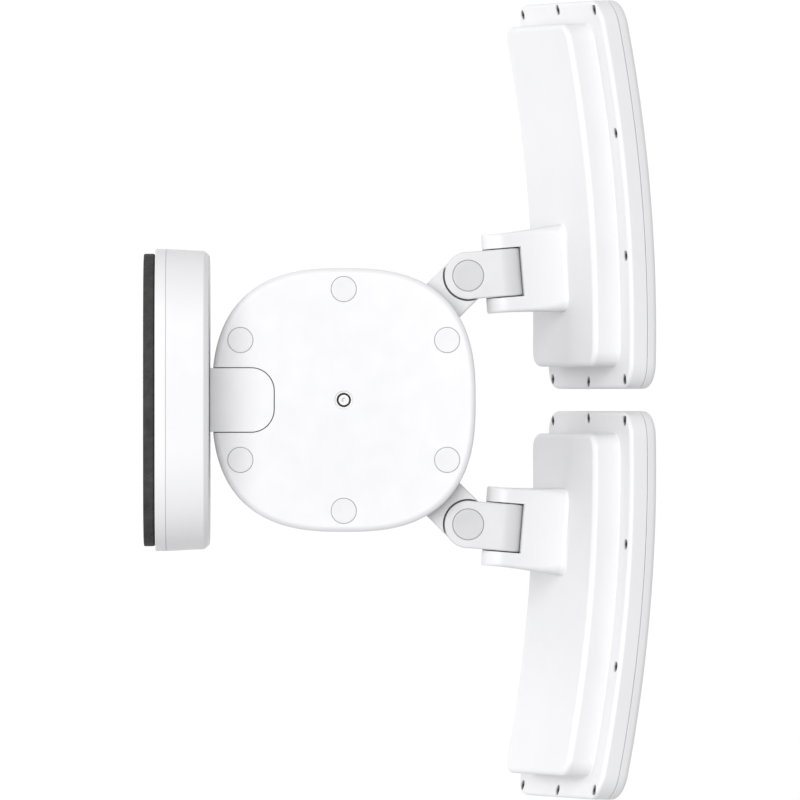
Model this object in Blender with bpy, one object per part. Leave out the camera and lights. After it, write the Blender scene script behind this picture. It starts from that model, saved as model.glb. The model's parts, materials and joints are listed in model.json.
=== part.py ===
"""Floodlight security camera for a wall, as an assembly of separate pieces.

Metres, +Z up. The wall is the plane Y=0 and the camera reaches out along -Y.
The origin is at the middle of the gasket's back face. +X is right, seen from in front.
"""
import bmesh
import bpy
from math import cos, pi, radians, sin, tan
from mathutils import Matrix, Vector

GAP = 0.0003                    # between faces that touch
FINE = 32                       # sides of the larger round pieces
ROUND = 24
SMALL = 16
TINY = 10

# wall plate
PLATE_HALF = 0.0626
PLATE_POWER = 4.0               # exponent of the plate's rounded-square outline
PLATE_CHAMFER = 0.0018
GASKET_HALF = 0.0606
GASKET_DEPTH = 0.0045
BASE_FRONT = 0.0090
COVER_FRONT = 0.0270
COVER_WALL = 0.0025
WIRE_HOLE_R = 0.016
WIRE_HOLE_Z = 0.022
PLATE_SCREW_X = 0.04445         # half of a junction box's 88.9 mm spacing

# hub
HUB_Y = -0.0827
HUB_HALF = 0.0546
HUB_POWER = 2.65
HUB_TOP = 0.020
HUB_SPLIT = 0.0105
HUB_BOTTOM = -0.020
HUB_WALL = 0.0030
HUB_RIM = 0.0023
PLUG_R = 0.0052
PLUG_DEPTH = 0.0026
CENTRE_RIM_R = 0.0037
CENTRE_HOLE_R = 0.0030
CENTRE_SCREW_R = 0.0024
BUTTON_R = 0.0036
BUTTON_Y = -0.0420
SPEAKER_Y = -0.1255
PLUG_PLACES = ((0.0459, 0.0), (0.0248, 0.0428), (0.0248, -0.0428))

# support arm between the plate and the hub
ARM_HALF = 0.01325
ARM_END = 0.0538
ARM_CORNER = 0.0094
ARM_BOTTOM = 0.0020

# light arms, at 45 degrees, and their knuckles
REACH = 0.0729                  # from the hub's axis to the yaw pin
LIGHT_ARM_HALF = 0.0097
LIGHT_ARM_LOW = -0.0140
LIGHT_ARM_TOP = 0.0060
LAP_Z = -0.0040                 # where the knuckle's eye lies on the arm's eye
EYE_R = 0.0099
SEAT_GAP = 0.0006               # round the eye, so that the knuckle can turn
HORN_END = 0.0046               # the arm beside the eye starts this far from the pin
COLLAR_HALF = 0.0125            # of the light arm, inside the hub
COLLAR_RISE = 0.0015
SPLAY = radians(4.7)            # each lamp points outwards at rest
PITCH_FORWARD = 0.0140          # from the yaw pin to the pitch pin
PITCH_Z = -0.0022
TONGUE_R = 0.0082
YAW_PIN_R = 0.0030
CAP_R = 0.0064
CAP_SEAT = 0.0015               # floor of the round pocket in the eye

# lamp head, in its own frame: x along it, y forward, z up, origin on the pitch pin
TILT = radians(20.0)            # downwards at rest
HEAD_MIDDLE = 0.0276            # the head's middle, outwards from the fork
HEAD_HALF = 0.0810
HEAD_HALF_HIGH = 0.0490
HEAD_CORNER = 0.0105
HEAD_BEND_R = 0.626
SLANT_INNER = tan(radians(4.7))  # of the lamp's ends, which lie square to the wall at rest
SLANT_OUTER = tan(radians(3.3))
SLANT_AT = 0.0600               # how far forward the ends keep their place
CASE_REAR = 0.0272
FLANGE_REAR = 0.0389
CASE_FRONT = 0.0462
BEZEL_REAR = 0.0465
BEZEL_FRONT = 0.0508
BOX_HALF = 0.0716
BOX_HALF_HIGH = 0.0370
BOX_WALL = 0.0025
WINDOW_HALF = 0.0700
WINDOW_HALF_HIGH = 0.0385
TINE_IN = 0.0103
TINE_OUT = 0.0164
TINE_R = 0.0074
PITCH_PIN_R = 0.0024
HEAD_SCREW_R = 0.0022
SEAL_HALF = 0.0752
SEAL_HALF_HIGH = 0.0412
SEAL_WIDTH = 0.0016
SEAL_DEPTH = 0.0012
SLOT_R = 0.0088                 # the fork's slot is round about the pitch pin,
SLOT_END = 0.0066               # and square above and below
FORK_ROOT = 0.0190              # half the fork's width at the case
HEAD_SCREWS = ((0.0755, 0.0425), (0.0755, -0.0425), (-0.0755, 0.0425), (-0.0755, -0.0425),
               (0.0765, 0.0), (-0.0765, 0.0),
               (0.0250, 0.0450), (-0.0250, 0.0450), (0.0250, -0.0450), (-0.0250, -0.0450))

# camera under the hub
YOKE_TOP = -0.0205
YOKE_DISC_R = 0.0340
YOKE_DISC_LOW = -0.0245
YOKE_ARM_IN = 0.0275
YOKE_ARM_OUT = 0.0355
YOKE_ARM_HALF = 0.0170
TILT_AXIS_Z = -0.0520
BARREL_R = 0.0250
BARREL_HALF = 0.0268
BARREL_FLAT = 0.0180            # the flat front, forward of the tilt axis
BARREL_SEAM = 0.0020            # behind the tilt axis
BARREL_WALL = 0.0022
SHAFT_R = 0.0050
TILT_PIN_R = 0.0040
LENSES = (("wide_lens", -0.0105, 0.0072), ("tele_lens", 0.0100, 0.0058))

WHITE = (0.86, 0.86, 0.88)
MATERIALS = {
    "white_plastic": (WHITE, 0.42, 0.0),
    "black_foam": ((0.03, 0.03, 0.032), 0.9, 0.0),
    "black_rubber": ((0.02, 0.02, 0.02), 0.7, 0.0),
    "circuit_green": ((0.02, 0.12, 0.05), 0.5, 0.0),
    "black_plastic": ((0.02, 0.02, 0.022), 0.4, 0.0),
    "steel": ((0.62, 0.62, 0.63), 0.3, 1.0),
    "aluminium": ((0.75, 0.75, 0.76), 0.35, 1.0),
    "diffuser_white": ((0.93, 0.93, 0.9), 0.3, 0.0),
    "dark_glass": ((0.01, 0.01, 0.012), 0.08, 0.0),
}


# ---------------------------------------------------------------- scene helpers

def clear_scene():
    """Remove what the file holds, so the script can be run again."""
    for item in list(bpy.data.objects):
        bpy.data.objects.remove(item, do_unlink=True)
    for group in list(bpy.data.collections):
        bpy.data.collections.remove(group)


def new_collection(name):
    group = bpy.data.collections.new(name)
    bpy.context.scene.collection.children.link(group)
    return group


def material(name, piece_name):
    """A piece's own Principled material, from one of the shared finishes."""
    colour, roughness, metallic = MATERIALS[name]
    result = bpy.data.materials.new(piece_name + "_" + name)
    result.use_nodes = True
    shader = result.node_tree.nodes["Principled BSDF"]
    shader.inputs["Base Color"].default_value = (*colour, 1.0)
    shader.inputs["Roughness"].default_value = roughness
    shader.inputs["Metallic"].default_value = metallic
    return result


def place(name, bm, group, parent=None):
    """Turn a bmesh into an object, smooth across shallow edges."""
    bmesh.ops.recalc_face_normals(bm, faces=bm.faces)
    mesh = bpy.data.meshes.new(name)
    bm.to_mesh(mesh)
    bm.free()
    mesh.shade_smooth()
    mesh.set_sharp_from_angle(angle=radians(35))
    result = bpy.data.objects.new(name, mesh)
    group.objects.link(result)
    result.parent = parent
    return result


def piece(name, finish, bm, parent=None):
    result = place(name, bm, PARTS, parent)
    result.data.materials.append(material(finish, name))
    return result


def tool(name, bm, parent=None):
    """A cutter or a shape to be joined: it isn't a part of its own."""
    result = place(name, bm, CUTTERS, parent)
    result.hide_render = True
    result.display_type = "WIRE"
    return result


def boolean(target, operation, shape):
    """Cut or join a shape: a bmesh, or a helper object that has cuts of its own."""
    if isinstance(shape, bmesh.types.BMesh):
        name = "%s_%s_%d" % (target.name, operation.lower(), len(target.modifiers))
        shape = tool(name, shape, target.parent)
    modifier = target.modifiers.new(operation.title(), "BOOLEAN")
    modifier.operation = operation
    modifier.solver = "EXACT"
    modifier.object = shape


def cut(target, *shapes):
    for shape in shapes:
        boolean(target, "DIFFERENCE", shape)


def join(target, *shapes):
    for shape in shapes:
        boolean(target, "UNION", shape)


# ---------------------------------------------------------------- shape helpers

def superellipse(half, power, count=40):
    """A rounded square, as points round the origin."""
    points = []
    for step in range(count):
        angle = 2 * pi * step / count
        x, y = cos(angle), sin(angle)
        size = half / (abs(x) ** power + abs(y) ** power) ** (1 / power)
        points.append((size * x, size * y))
    return points


def rounded_rectangle(half_x, half_y, radius, steps=3):
    """A rectangle with round corners, as points round the origin."""
    points = []
    corners = ((1, 1, 0), (-1, 1, 90), (-1, -1, 180), (1, -1, 270))
    for side_x, side_y, start in corners:
        for step in range(steps + 1):
            angle = radians(start + 90 * step / steps)
            x = side_x * (half_x - radius) + radius * cos(angle)
            y = side_y * (half_y - radius) + radius * sin(angle)
            points.append((x, y))
    return points


def prism(outline, low, high, bevel_top=0.0, bevel_low=0.0, segments=1):
    """An outline in X and Y, extruded from low to high along Z."""
    bm = bmesh.new()
    face = bm.faces.new([bm.verts.new((x, y, low)) for x, y in outline])
    made = bmesh.ops.extrude_face_region(bm, geom=[face])
    moved = [item for item in made["geom"] if isinstance(item, bmesh.types.BMVert)]
    bmesh.ops.translate(bm, verts=moved, vec=(0, 0, high - low))
    bmesh.ops.recalc_face_normals(bm, faces=bm.faces)
    for level, size in ((high, bevel_top), (low, bevel_low)):
        if size:
            bevel(bm, lambda a, b: abs(a.z - level) + abs(b.z - level) < 1e-7, size, segments)
    return bm


def bevel(bm, wanted, size, segments=1):
    """Bevel the edges whose two ends pass the test."""
    edges = [edge for edge in bm.edges if wanted(edge.verts[0].co, edge.verts[1].co)]
    bmesh.ops.bevel(bm, geom=edges, offset=size, segments=segments, profile=0.5,
                    affect="EDGES", clamp_overlap=True)


def disc(radius, low, high, sides=ROUND, middle=(0.0, 0.0), bevel_top=0.0, bevel_low=0.0):
    """A round column along Z."""
    angles = [2 * pi * step / sides for step in range(sides)]
    outline = [(middle[0] + radius * cos(a), middle[1] + radius * sin(a)) for a in angles]
    return prism(outline, low, high, bevel_top, bevel_low)


def turned(profile, sides=ROUND, middle=(0.0, 0.0)):
    """A shape turned about Z, from (radius, height) pairs that run from foot to top."""
    bm = bmesh.new()
    low, high = profile[0][1], profile[-1][1]
    places = [(0.0, low)] + list(profile) + [(0.0, high)]
    verts = [bm.verts.new((radius, 0, height)) for radius, height in places]
    edges = [bm.edges.new(pair) for pair in zip(verts, verts[1:])]
    bmesh.ops.spin(bm, geom=verts + edges, axis=(0, 0, 1), cent=(0, 0, 0), angle=2 * pi,
                   steps=sides, use_merge=True)
    bmesh.ops.remove_doubles(bm, verts=bm.verts, dist=1e-6)
    bmesh.ops.recalc_face_normals(bm, faces=bm.faces)
    return at(bm, middle[0], middle[1])


def block(size, middle):
    """A box of the given size."""
    bm = bmesh.new()
    bmesh.ops.create_cube(bm, size=1.0)
    bmesh.ops.scale(bm, vec=size, verts=bm.verts)
    bmesh.ops.translate(bm, vec=middle, verts=bm.verts)
    return bm


def span(low, high):
    """A box from its lowest corner to its highest."""
    low, high = Vector(low), Vector(high)
    return block(high - low, (low + high) / 2)


def moved(bm, matrix):
    bmesh.ops.transform(bm, matrix=matrix, verts=bm.verts)
    return bm


def outwards(bm):
    """Stand a shape made along +Z so that it points out from the wall, along -Y."""
    return moved(bm, Matrix.Rotation(radians(90), 4, "X"))


def sideways(bm):
    """Lay a shape made along +Z along +X, keeping its X axis upright."""
    return moved(bm, Matrix(((0, 0, 1, 0), (0, 1, 0, 0), (-1, 0, 0, 0), (0, 0, 0, 1))))


def at(bm, x=0.0, y=0.0, z=0.0):
    return moved(bm, Matrix.Translation((x, y, z)))


def mirrored(bm, side):
    """The shape as made for the right, or its mirror image for the left."""
    if side < 0:
        bmesh.ops.scale(bm, vec=(-1, 1, 1), verts=bm.verts)
        bmesh.ops.reverse_faces(bm, faces=bm.faces)
    return bm


# ---------------------------------------------------------------- wall plate

def wire_hole(low, high):
    return at(outwards(disc(WIRE_HOLE_R, low, high)), z=WIRE_HOLE_Z)


def plate_screw_holes(radius):
    return [at(outwards(disc(radius, -0.001, 0.012, SMALL)), x=side * PLATE_SCREW_X)
            for side in (-1, 1)]


def build_wall_plate():
    gasket = piece("wall_gasket", "black_foam",
                   outwards(prism(superellipse(GASKET_HALF, PLATE_POWER), 0, GASKET_DEPTH)))
    cut(gasket, wire_hole(-0.001, 0.010), *plate_screw_holes(0.0026))
    base = piece("base_plate", "white_plastic",
                 outwards(prism(superellipse(PLATE_HALF, PLATE_POWER),
                                GASKET_DEPTH + GAP, BASE_FRONT)))
    cut(base, wire_hole(0.001, 0.012), *plate_screw_holes(0.0024))
    cover = piece("plate_cover", "white_plastic",
                  outwards(prism(superellipse(PLATE_HALF, PLATE_POWER), BASE_FRONT + GAP,
                                 COVER_FRONT, bevel_top=PLATE_CHAMFER)))
    inside = superellipse(PLATE_HALF - COVER_WALL, PLATE_POWER)
    cut(cover,
        outwards(prism(inside, BASE_FRONT - 0.002, COVER_FRONT - COVER_WALL)),
        wire_channel(COVER_FRONT - 0.006, COVER_FRONT + 0.004))
    for side, word in ((-1, "left"), (1, "right")):
        screw = turned(((0.0021, GAP), (0.0021, BASE_FRONT + GAP), (0.0045, BASE_FRONT + GAP),
                        (0.0045, BASE_FRONT + 0.0020), (0.0036, BASE_FRONT + 0.0031)), SMALL)
        piece("plate_screw_" + word, "steel", at(outwards(screw), x=side * PLATE_SCREW_X))
    build_plate_electronics()


def wire_channel(near, far):
    """The way for the wires between the plate and the hub."""
    middle = (ARM_BOTTOM + HUB_TOP) / 2
    outline = rounded_rectangle(0.0080, 0.0045, 0.0030, 3)
    return at(outwards(prism(outline, near, far)), z=middle)


def build_plate_electronics():
    """The mains terminals and the supply that feeds the lamps and the camera."""
    terminals = piece("terminal_block", "black_plastic",
                      span((-0.034, -0.0190, -0.034), (-0.010, -BASE_FRONT - GAP, -0.022)))
    cut(terminals, *[at(outwards(disc(0.0016, 0.015, 0.022, TINY)), x=x, z=-0.028)
                     for x in (-0.029, -0.022, -0.015)])
    board_front, board_rear = 0.0240, 0.0224
    board = piece("power_board", "circuit_green",
                  span((-0.038, -board_front, -0.042), (0.038, -board_rear, 0.002)))
    join(board,
         span((0.008, -board_rear - 0.0004, -0.036), (0.028, -0.0130, -0.018)),
         at(outwards(disc(0.0045, 0.0120, board_rear + 0.0004, SMALL)), x=0.020, z=-0.008))


def build_support_arm():
    """The tab that carries the hub: its top is flush with the hub's cover."""
    arm = piece("support_arm", "white_plastic",
                prism(arm_outline(0.0), ARM_BOTTOM, HUB_TOP, bevel_top=0.0003))
    cut(arm, wire_channel(COVER_FRONT - 0.002, ARM_END + 0.004))


def arm_outline(clearance):
    """The arm from above: square at the wall plate, with round far corners."""
    half, end = ARM_HALF + clearance, -ARM_END - clearance
    near = -COVER_FRONT - GAP if not clearance else -COVER_FRONT + 0.002
    points = [(half, near), (-half, near)]
    for side, start in ((-1, 180), (1, 270)):
        for step in range(8):
            angle = radians(start + 90 * step / 7)
            points.append((side * (half - ARM_CORNER) + ARM_CORNER * cos(angle),
                           end + ARM_CORNER + ARM_CORNER * sin(angle)))
    return points


def arm_pocket():
    return prism(arm_outline(0.0003), ARM_BOTTOM - GAP, HUB_TOP + 0.002)


# ---------------------------------------------------------------- hub

def hub_prism(inset, low, high, **bevels):
    return at(prism(superellipse(HUB_HALF - inset, HUB_POWER, 48), low, high, **bevels), y=HUB_Y)


def plug_places():
    for x, y in PLUG_PLACES:
        yield x, HUB_Y + y
        yield -x, HUB_Y - y


def build_hub():
    top = piece("hub_top_cover", "white_plastic",
                hub_prism(0, HUB_SPLIT, HUB_TOP, bevel_top=HUB_RIM, segments=2))
    cut(top, hub_prism(HUB_WALL, HUB_SPLIT - 0.002, HUB_TOP - 0.0042), arm_pocket())
    for x, y in plug_places():
        cut(top, disc(PLUG_R + GAP, HUB_TOP - PLUG_DEPTH - GAP, HUB_TOP + 0.002, ROUND, (x, y)))
    cut(top, turned(((CENTRE_HOLE_R, HUB_TOP - 0.0070), (CENTRE_HOLE_R, HUB_TOP - 0.0006),
                     (CENTRE_RIM_R, HUB_TOP - 0.0006), (CENTRE_RIM_R, HUB_TOP + 0.002)),
                    ROUND, (0, HUB_Y)))
    for number, (x, y) in enumerate(plug_places(), 1):
        piece("screw_plug_%d" % number, "white_plastic",
              disc(PLUG_R, HUB_TOP - PLUG_DEPTH, HUB_TOP, ROUND, (x, y), bevel_top=0.0003))
    screw = piece("centre_screw", "steel",
                  disc(CENTRE_SCREW_R, HUB_TOP - 0.0140, HUB_TOP - 0.0020, SMALL, (0, HUB_Y)))
    cut(screw, disc(0.0011, HUB_TOP - 0.0036, HUB_TOP, 6, (0, HUB_Y)))

    lower = piece("hub_lower_shell", "white_plastic",
                  hub_prism(0, HUB_BOTTOM, HUB_SPLIT - GAP, bevel_low=HUB_RIM, segments=2))
    cut(lower, hub_prism(HUB_WALL, HUB_BOTTOM + HUB_WALL, HUB_SPLIT + 0.002),
        hub_prism(0.0015, HUB_SPLIT - 0.0018, HUB_SPLIT + 0.001), arm_pocket(),
        disc(SHAFT_R + GAP, HUB_BOTTOM - 0.002, HUB_BOTTOM + 0.005, ROUND, (0, HUB_Y)),
        disc(BUTTON_R + GAP, HUB_BOTTOM - 0.002, HUB_BOTTOM + 0.005, SMALL, (0, BUTTON_Y)))
    for side in (-1, 1):
        cut(lower, light_arm_frame(span((0.040, -LIGHT_ARM_HALF - GAP, LIGHT_ARM_LOW - GAP),
                                        (0.080, LIGHT_ARM_HALF + GAP, LIGHT_ARM_TOP + GAP)),
                                   side))
    for step in range(5):
        x = 0.0026 * (step - 2)
        cut(lower, disc(0.0008, HUB_BOTTOM - 0.002, HUB_BOTTOM + 0.005, TINY, (x, SPEAKER_Y)))
    seal = piece("hub_seal", "black_rubber", hub_prism(0.0018, HUB_SPLIT - 0.0014, HUB_SPLIT - GAP))
    cut(seal, hub_prism(0.0030, HUB_SPLIT - 0.003, HUB_SPLIT + 0.001), arm_pocket())
    build_hub_electronics()


def build_hub_electronics():
    board_low = -0.0060
    outline = rounded_rectangle(0.034, 0.024, 0.006, 2)
    board = piece("main_board", "circuit_green",
                  at(prism(outline, board_low, board_low + 0.0016), y=HUB_Y))
    join(board,
         at(span((-0.010, -0.008, board_low + 0.0012), (0.010, 0.012, board_low + 0.0040)), y=HUB_Y),
         at(span((0.018, -0.014, board_low + 0.0012), (0.030, 0.000, board_low + 0.0060)), y=HUB_Y))
    floor = HUB_BOTTOM + HUB_WALL
    motor = piece("pan_motor", "aluminium", disc(0.0150, floor + GAP, -0.0080, ROUND, (0, HUB_Y)))
    cut(motor, disc(SHAFT_R + GAP, floor - 0.002, -0.0070, ROUND, (0, HUB_Y)))
    speaker = piece("speaker", "black_plastic",
                    disc(0.0080, floor + GAP, floor + 0.0050, SMALL, (0, SPEAKER_Y)))
    cut(speaker, disc(0.0060, floor - 0.001, floor + 0.0020, SMALL, (0, SPEAKER_Y)))
    rim = floor + 0.0011
    piece("sync_button", "black_rubber",
          turned(((BUTTON_R - 0.0004, HUB_BOTTOM - 0.0008), (BUTTON_R, HUB_BOTTOM - 0.0004),
                  (BUTTON_R, rim - 0.0007), (0.0050, rim - 0.0007), (0.0050, rim)),
                 SMALL, (0, BUTTON_Y)))


# ---------------------------------------------------------------- light arms and knuckles

def light_arm_frame(bm, side):
    """Turn a shape made along +X from the hub's axis to its 45 degree direction."""
    turned = moved(bm, Matrix.Rotation(radians(-45), 4, "Z"))
    return at(mirrored(turned, side), y=HUB_Y)


def build_light_arm(side, word):
    bar = span((0.0500, -LIGHT_ARM_HALF, LIGHT_ARM_LOW), (REACH, LIGHT_ARM_HALF, LIGHT_ARM_TOP))
    arm = piece("light_arm_" + word, "white_plastic", light_arm_frame(bar, side))
    end = disc(LIGHT_ARM_HALF, LIGHT_ARM_LOW, LAP_Z + 0.001, FINE, (REACH, 0))
    collar = span((0.0500, -COLLAR_HALF, LIGHT_ARM_LOW - COLLAR_RISE),
                  (0.0530, COLLAR_HALF, LIGHT_ARM_TOP + COLLAR_RISE))
    join(arm, light_arm_frame(end, side), light_arm_frame(collar, side))
    seat = disc(EYE_R + SEAT_GAP, LAP_Z - GAP, 0.020, FINE, (REACH, 0))
    horns = span((REACH - HORN_END, -0.0110, LAP_Z - GAP), (REACH + 0.0110, 0.0110, 0.020))
    bore = disc(YAW_PIN_R + GAP, -0.030, 0.020, SMALL, (REACH, 0))
    join_seat = tool("seat_" + word, light_arm_frame(seat, side))
    join(join_seat, light_arm_frame(horns, side))
    cut(arm, join_seat, light_arm_frame(bore, side))


def empty(name, place_at, turn, parent=None):
    """A joint's axis: the pieces that it moves are its children."""
    result = bpy.data.objects.new(name, None)
    PARTS.objects.link(result)
    result.location = place_at
    result.rotation_euler = turn
    result.parent = parent
    return result


def knuckle_plan():
    """The knuckle from above: round about the yaw pin, straight on past the pitch pin."""
    end = -PITCH_FORWARD - TONGUE_R - 0.002
    points = [(-EYE_R, end), (EYE_R, end)]
    for step in range(17):
        angle = pi * step / 16
        points.append((EYE_R * cos(angle), EYE_R * sin(angle)))
    return points


def knuckle_profile():
    """The knuckle from the side, as depths below its axis and places along it."""
    back = EYE_R + 0.002
    points = [(-LIGHT_ARM_TOP, back)]
    steps = 18
    for step in range(steps + 1):
        angle = radians(180 + 215 * step / steps)
        points.append((-PITCH_Z + TONGUE_R * cos(angle), -PITCH_FORWARD + TONGUE_R * sin(angle)))
    points.append((-LAP_Z, points[-1][1] + 0.001))
    points.append((-LAP_Z, back))
    return points


def build_knuckle(side, word, yaw):
    """Made for the right, in a frame with its origin on the yaw pin and -Y forward."""
    body = sideways(prism(knuckle_profile(), -EYE_R - 0.002, EYE_R + 0.002))
    knuckle = piece("knuckle_" + word, "white_plastic", mirrored(body, side), yaw)
    boolean(knuckle, "INTERSECT", mirrored(prism(knuckle_plan(), -0.020, 0.020), side))
    cut(knuckle,
        mirrored(disc(EYE_R + 0.0005, -0.020, LAP_Z + 0.00005, FINE), side),
        turned(((YAW_PIN_R + GAP, -0.020), (YAW_PIN_R + GAP, CAP_SEAT),
                (CAP_R + 0.0002, CAP_SEAT), (CAP_R + 0.0002, 0.020))),
        mirrored(at(sideways(disc(PITCH_PIN_R + GAP, -0.02, 0.02, SMALL)),
                    y=-PITCH_FORWARD, z=PITCH_Z), side))
    piece("yaw_pin_" + word, "steel",
          turned(((YAW_PIN_R, LIGHT_ARM_LOW + GAP), (YAW_PIN_R, CAP_SEAT + GAP),
                  (0.0056, CAP_SEAT + GAP), (0.0056, CAP_SEAT + 0.0018)), SMALL), yaw)
    piece("pin_cap_" + word, "white_plastic",
          disc(CAP_R, 0.0036, LIGHT_ARM_TOP, FINE, bevel_top=0.0004), yaw)


# ---------------------------------------------------------------- lamp heads

def lamp_slab(half, half_high, rear, front, corner, rear_edge=0.0, front_edge=0.0):
    """A slab that is curved along its length, with round corners seen from in front."""
    steps = 8
    centre = CASE_REAR - HEAD_BEND_R
    outline = []
    for depth, order in ((rear, range(steps + 1)), (front, range(steps, -1, -1))):
        radius = HEAD_BEND_R + depth - CASE_REAR
        for step in order:
            turn = (2 * step / steps - 1) * half / radius
            outline.append((HEAD_MIDDLE + radius * sin(turn), centre + radius * cos(turn)))
    bm = prism(outline, -half_high, half_high)
    sharp_end = 0.98 * half
    bevel(bm, lambda a, b: (abs(a.z - b.z) < 1e-7
                            and min(abs(p.x - HEAD_MIDDLE) for p in (a, b)) > sharp_end
                            and abs(a.y - b.y) > 0.5 * (front - rear)), corner, 3)
    for size, inner in ((rear_edge, True), (front_edge, False)):
        if size:
            round_face_edges(bm, centre, (rear if inner else front), size)
    moved(bm, Matrix(((1, 0, 0, 0), (0, -1, 0, 0), (0, 0, 1, 0), (0, 0, 0, 1))))
    return slanted(bm)


def slanted(bm):
    """Lean the lamp along its length, the more the further back and down."""
    for vert in bm.verts:
        forward = vert.co.z * sin(TILT) - vert.co.y * cos(TILT)
        share = (vert.co.x - HEAD_MIDDLE + HEAD_HALF) / (2 * HEAD_HALF)
        lean = SLANT_INNER + (SLANT_OUTER - SLANT_INNER) * share
        vert.co.x += lean * (SLANT_AT - forward)
    return bm


def round_face_edges(bm, centre, depth, size):
    """Bevel the rim of the curved face that lies at the given depth."""
    bmesh.ops.recalc_face_normals(bm, faces=bm.faces)
    middle = Vector((HEAD_MIDDLE, centre, 0))
    radius = HEAD_BEND_R + depth - CASE_REAR

    def on_face(face):
        out = face.calc_center_median() - middle
        out.z = 0
        return abs(face.normal.z) < 0.1 and abs(out.length - radius) < 0.0002
    inside = {face for face in bm.faces if on_face(face)}
    rim = [edge for edge in bm.edges
           if sum(face in inside for face in edge.link_faces) == 1]
    bmesh.ops.bevel(bm, geom=rim, offset=size, segments=2, profile=0.5, affect="EDGES")


def curve_turn(along):
    """How far the lamp's curve has turned at a distance along it from its middle."""
    return along / HEAD_BEND_R


def on_curve(bm, along):
    """Move a shape made at the lamp's middle along its curve, keeping it square to it."""
    centre = HEAD_BEND_R - CASE_REAR
    there = Matrix.Translation((HEAD_MIDDLE, centre, 0))
    turn = Matrix.Rotation(curve_turn(along), 4, "Z")
    return slanted(moved(bm, there @ turn @ Matrix.Translation((0, -centre, 0))))


def build_lamp(side, word, pitch):
    case = piece("rear_case_" + word, "white_plastic",
                 mirrored(lamp_slab(HEAD_HALF, HEAD_HALF_HIGH, FLANGE_REAR, CASE_FRONT,
                                    HEAD_CORNER, rear_edge=0.0018), side), pitch)
    join(case, mirrored(lamp_slab(BOX_HALF, BOX_HALF_HIGH, CASE_REAR, FLANGE_REAR + 0.001,
                                  0.0070, rear_edge=0.0026), side))
    for inner, outer in ((TINE_IN, TINE_OUT), (-TINE_OUT, -TINE_IN)):
        join(case, mirrored(tine(inner, outer), side))
    bridge = prism([(-TINE_OUT, -SLOT_END), (TINE_OUT, -SLOT_END),
                    (FORK_ROOT, -CASE_REAR - 0.0010), (-FORK_ROOT, -CASE_REAR - 0.0010)],
                   -TINE_R, TINE_R)
    join(case, mirrored(bridge, side))
    slot = sideways(disc(SLOT_R, -TINE_IN, TINE_IN, FINE))
    cavity = lamp_slab(BOX_HALF - BOX_WALL, BOX_HALF_HIGH - BOX_WALL, CASE_REAR + BOX_WALL,
                       CASE_FRONT + 0.002, 0.0050)
    pin_bore = sideways(disc(PITCH_PIN_R + GAP, -0.02, 0.02, SMALL))
    groove = tool("seal_groove_" + word, mirrored(seal_slab(GAP, GAP), side), pitch)
    cut(groove, mirrored(seal_slab(-SEAL_WIDTH - GAP, 0.002), side))
    cut(case, mirrored(cavity, side), mirrored(slot, side), mirrored(pin_bore, side), groove)
    for along, up in HEAD_SCREWS:
        hole = at(outwards(disc(HEAD_SCREW_R, FLANGE_REAR - 0.003, FLANGE_REAR + 0.0016, TINY)), z=up)
        cut(case, mirrored(on_curve(hole, along), side))
    seal = piece("case_seal_" + word, "black_rubber", mirrored(seal_slab(0, 0), side), pitch)
    cut(seal, mirrored(seal_slab(-SEAL_WIDTH, 0.001), side))
    build_lamp_front(side, word, pitch)
    piece("pitch_pin_" + word, "steel",
          mirrored(sideways(disc(PITCH_PIN_R, -TINE_OUT, TINE_OUT, SMALL)), side), pitch)


def tine(inner, outer):
    """One leg of the fork, round about the pitch pin."""
    steps = 14
    points = [(TINE_R, -SLOT_END - 0.001)]
    for step in range(steps + 1):
        angle = pi * step / steps
        points.append((TINE_R * cos(angle), TINE_R * sin(angle)))
    points.append((-TINE_R, -SLOT_END - 0.001))
    return sideways(prism(points, inner, outer))


def seal_slab(grow, depth_grow):
    """The seal's outer or inner outline, as a slab of the seal's depth or more."""
    return lamp_slab(SEAL_HALF + grow, SEAL_HALF_HIGH + grow, CASE_FRONT - SEAL_DEPTH - depth_grow,
                     CASE_FRONT + depth_grow, 0.0060 + grow)


def build_lamp_front(side, word, pitch):
    bezel = piece("front_bezel_" + word, "white_plastic",
                  mirrored(lamp_slab(HEAD_HALF, HEAD_HALF_HIGH, BEZEL_REAR, BEZEL_FRONT,
                                     HEAD_CORNER, front_edge=0.0016), side), pitch)
    window = lamp_slab(WINDOW_HALF, WINDOW_HALF_HIGH, BEZEL_REAR - 0.002, BEZEL_FRONT + 0.002, 0.008)
    rebate = lamp_slab(WINDOW_HALF + 0.002, WINDOW_HALF_HIGH + 0.002, BEZEL_REAR - 0.002,
                       BEZEL_REAR + 0.0018, 0.009)
    cut(bezel, mirrored(window, side), mirrored(rebate, side))
    diffuser = piece("diffuser_" + word, "diffuser_white",
                     mirrored(lamp_slab(WINDOW_HALF - GAP, WINDOW_HALF_HIGH - GAP,
                                        BEZEL_REAR + 0.0004, BEZEL_FRONT - 0.0006, 0.0077,
                                        front_edge=0.0008), side), pitch)
    join(diffuser, mirrored(lamp_slab(WINDOW_HALF + 0.0016, WINDOW_HALF_HIGH + 0.0016,
                                      BEZEL_REAR + 0.0001, BEZEL_REAR + 0.0014, 0.0086), side))
    piece("led_board_" + word, "aluminium",
          mirrored(lamp_slab(BOX_HALF - 0.005, BOX_HALF_HIGH - 0.005, CASE_FRONT - 0.0040,
                             CASE_FRONT - 0.0024, 0.0040), side), pitch)


# ---------------------------------------------------------------- camera

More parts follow.
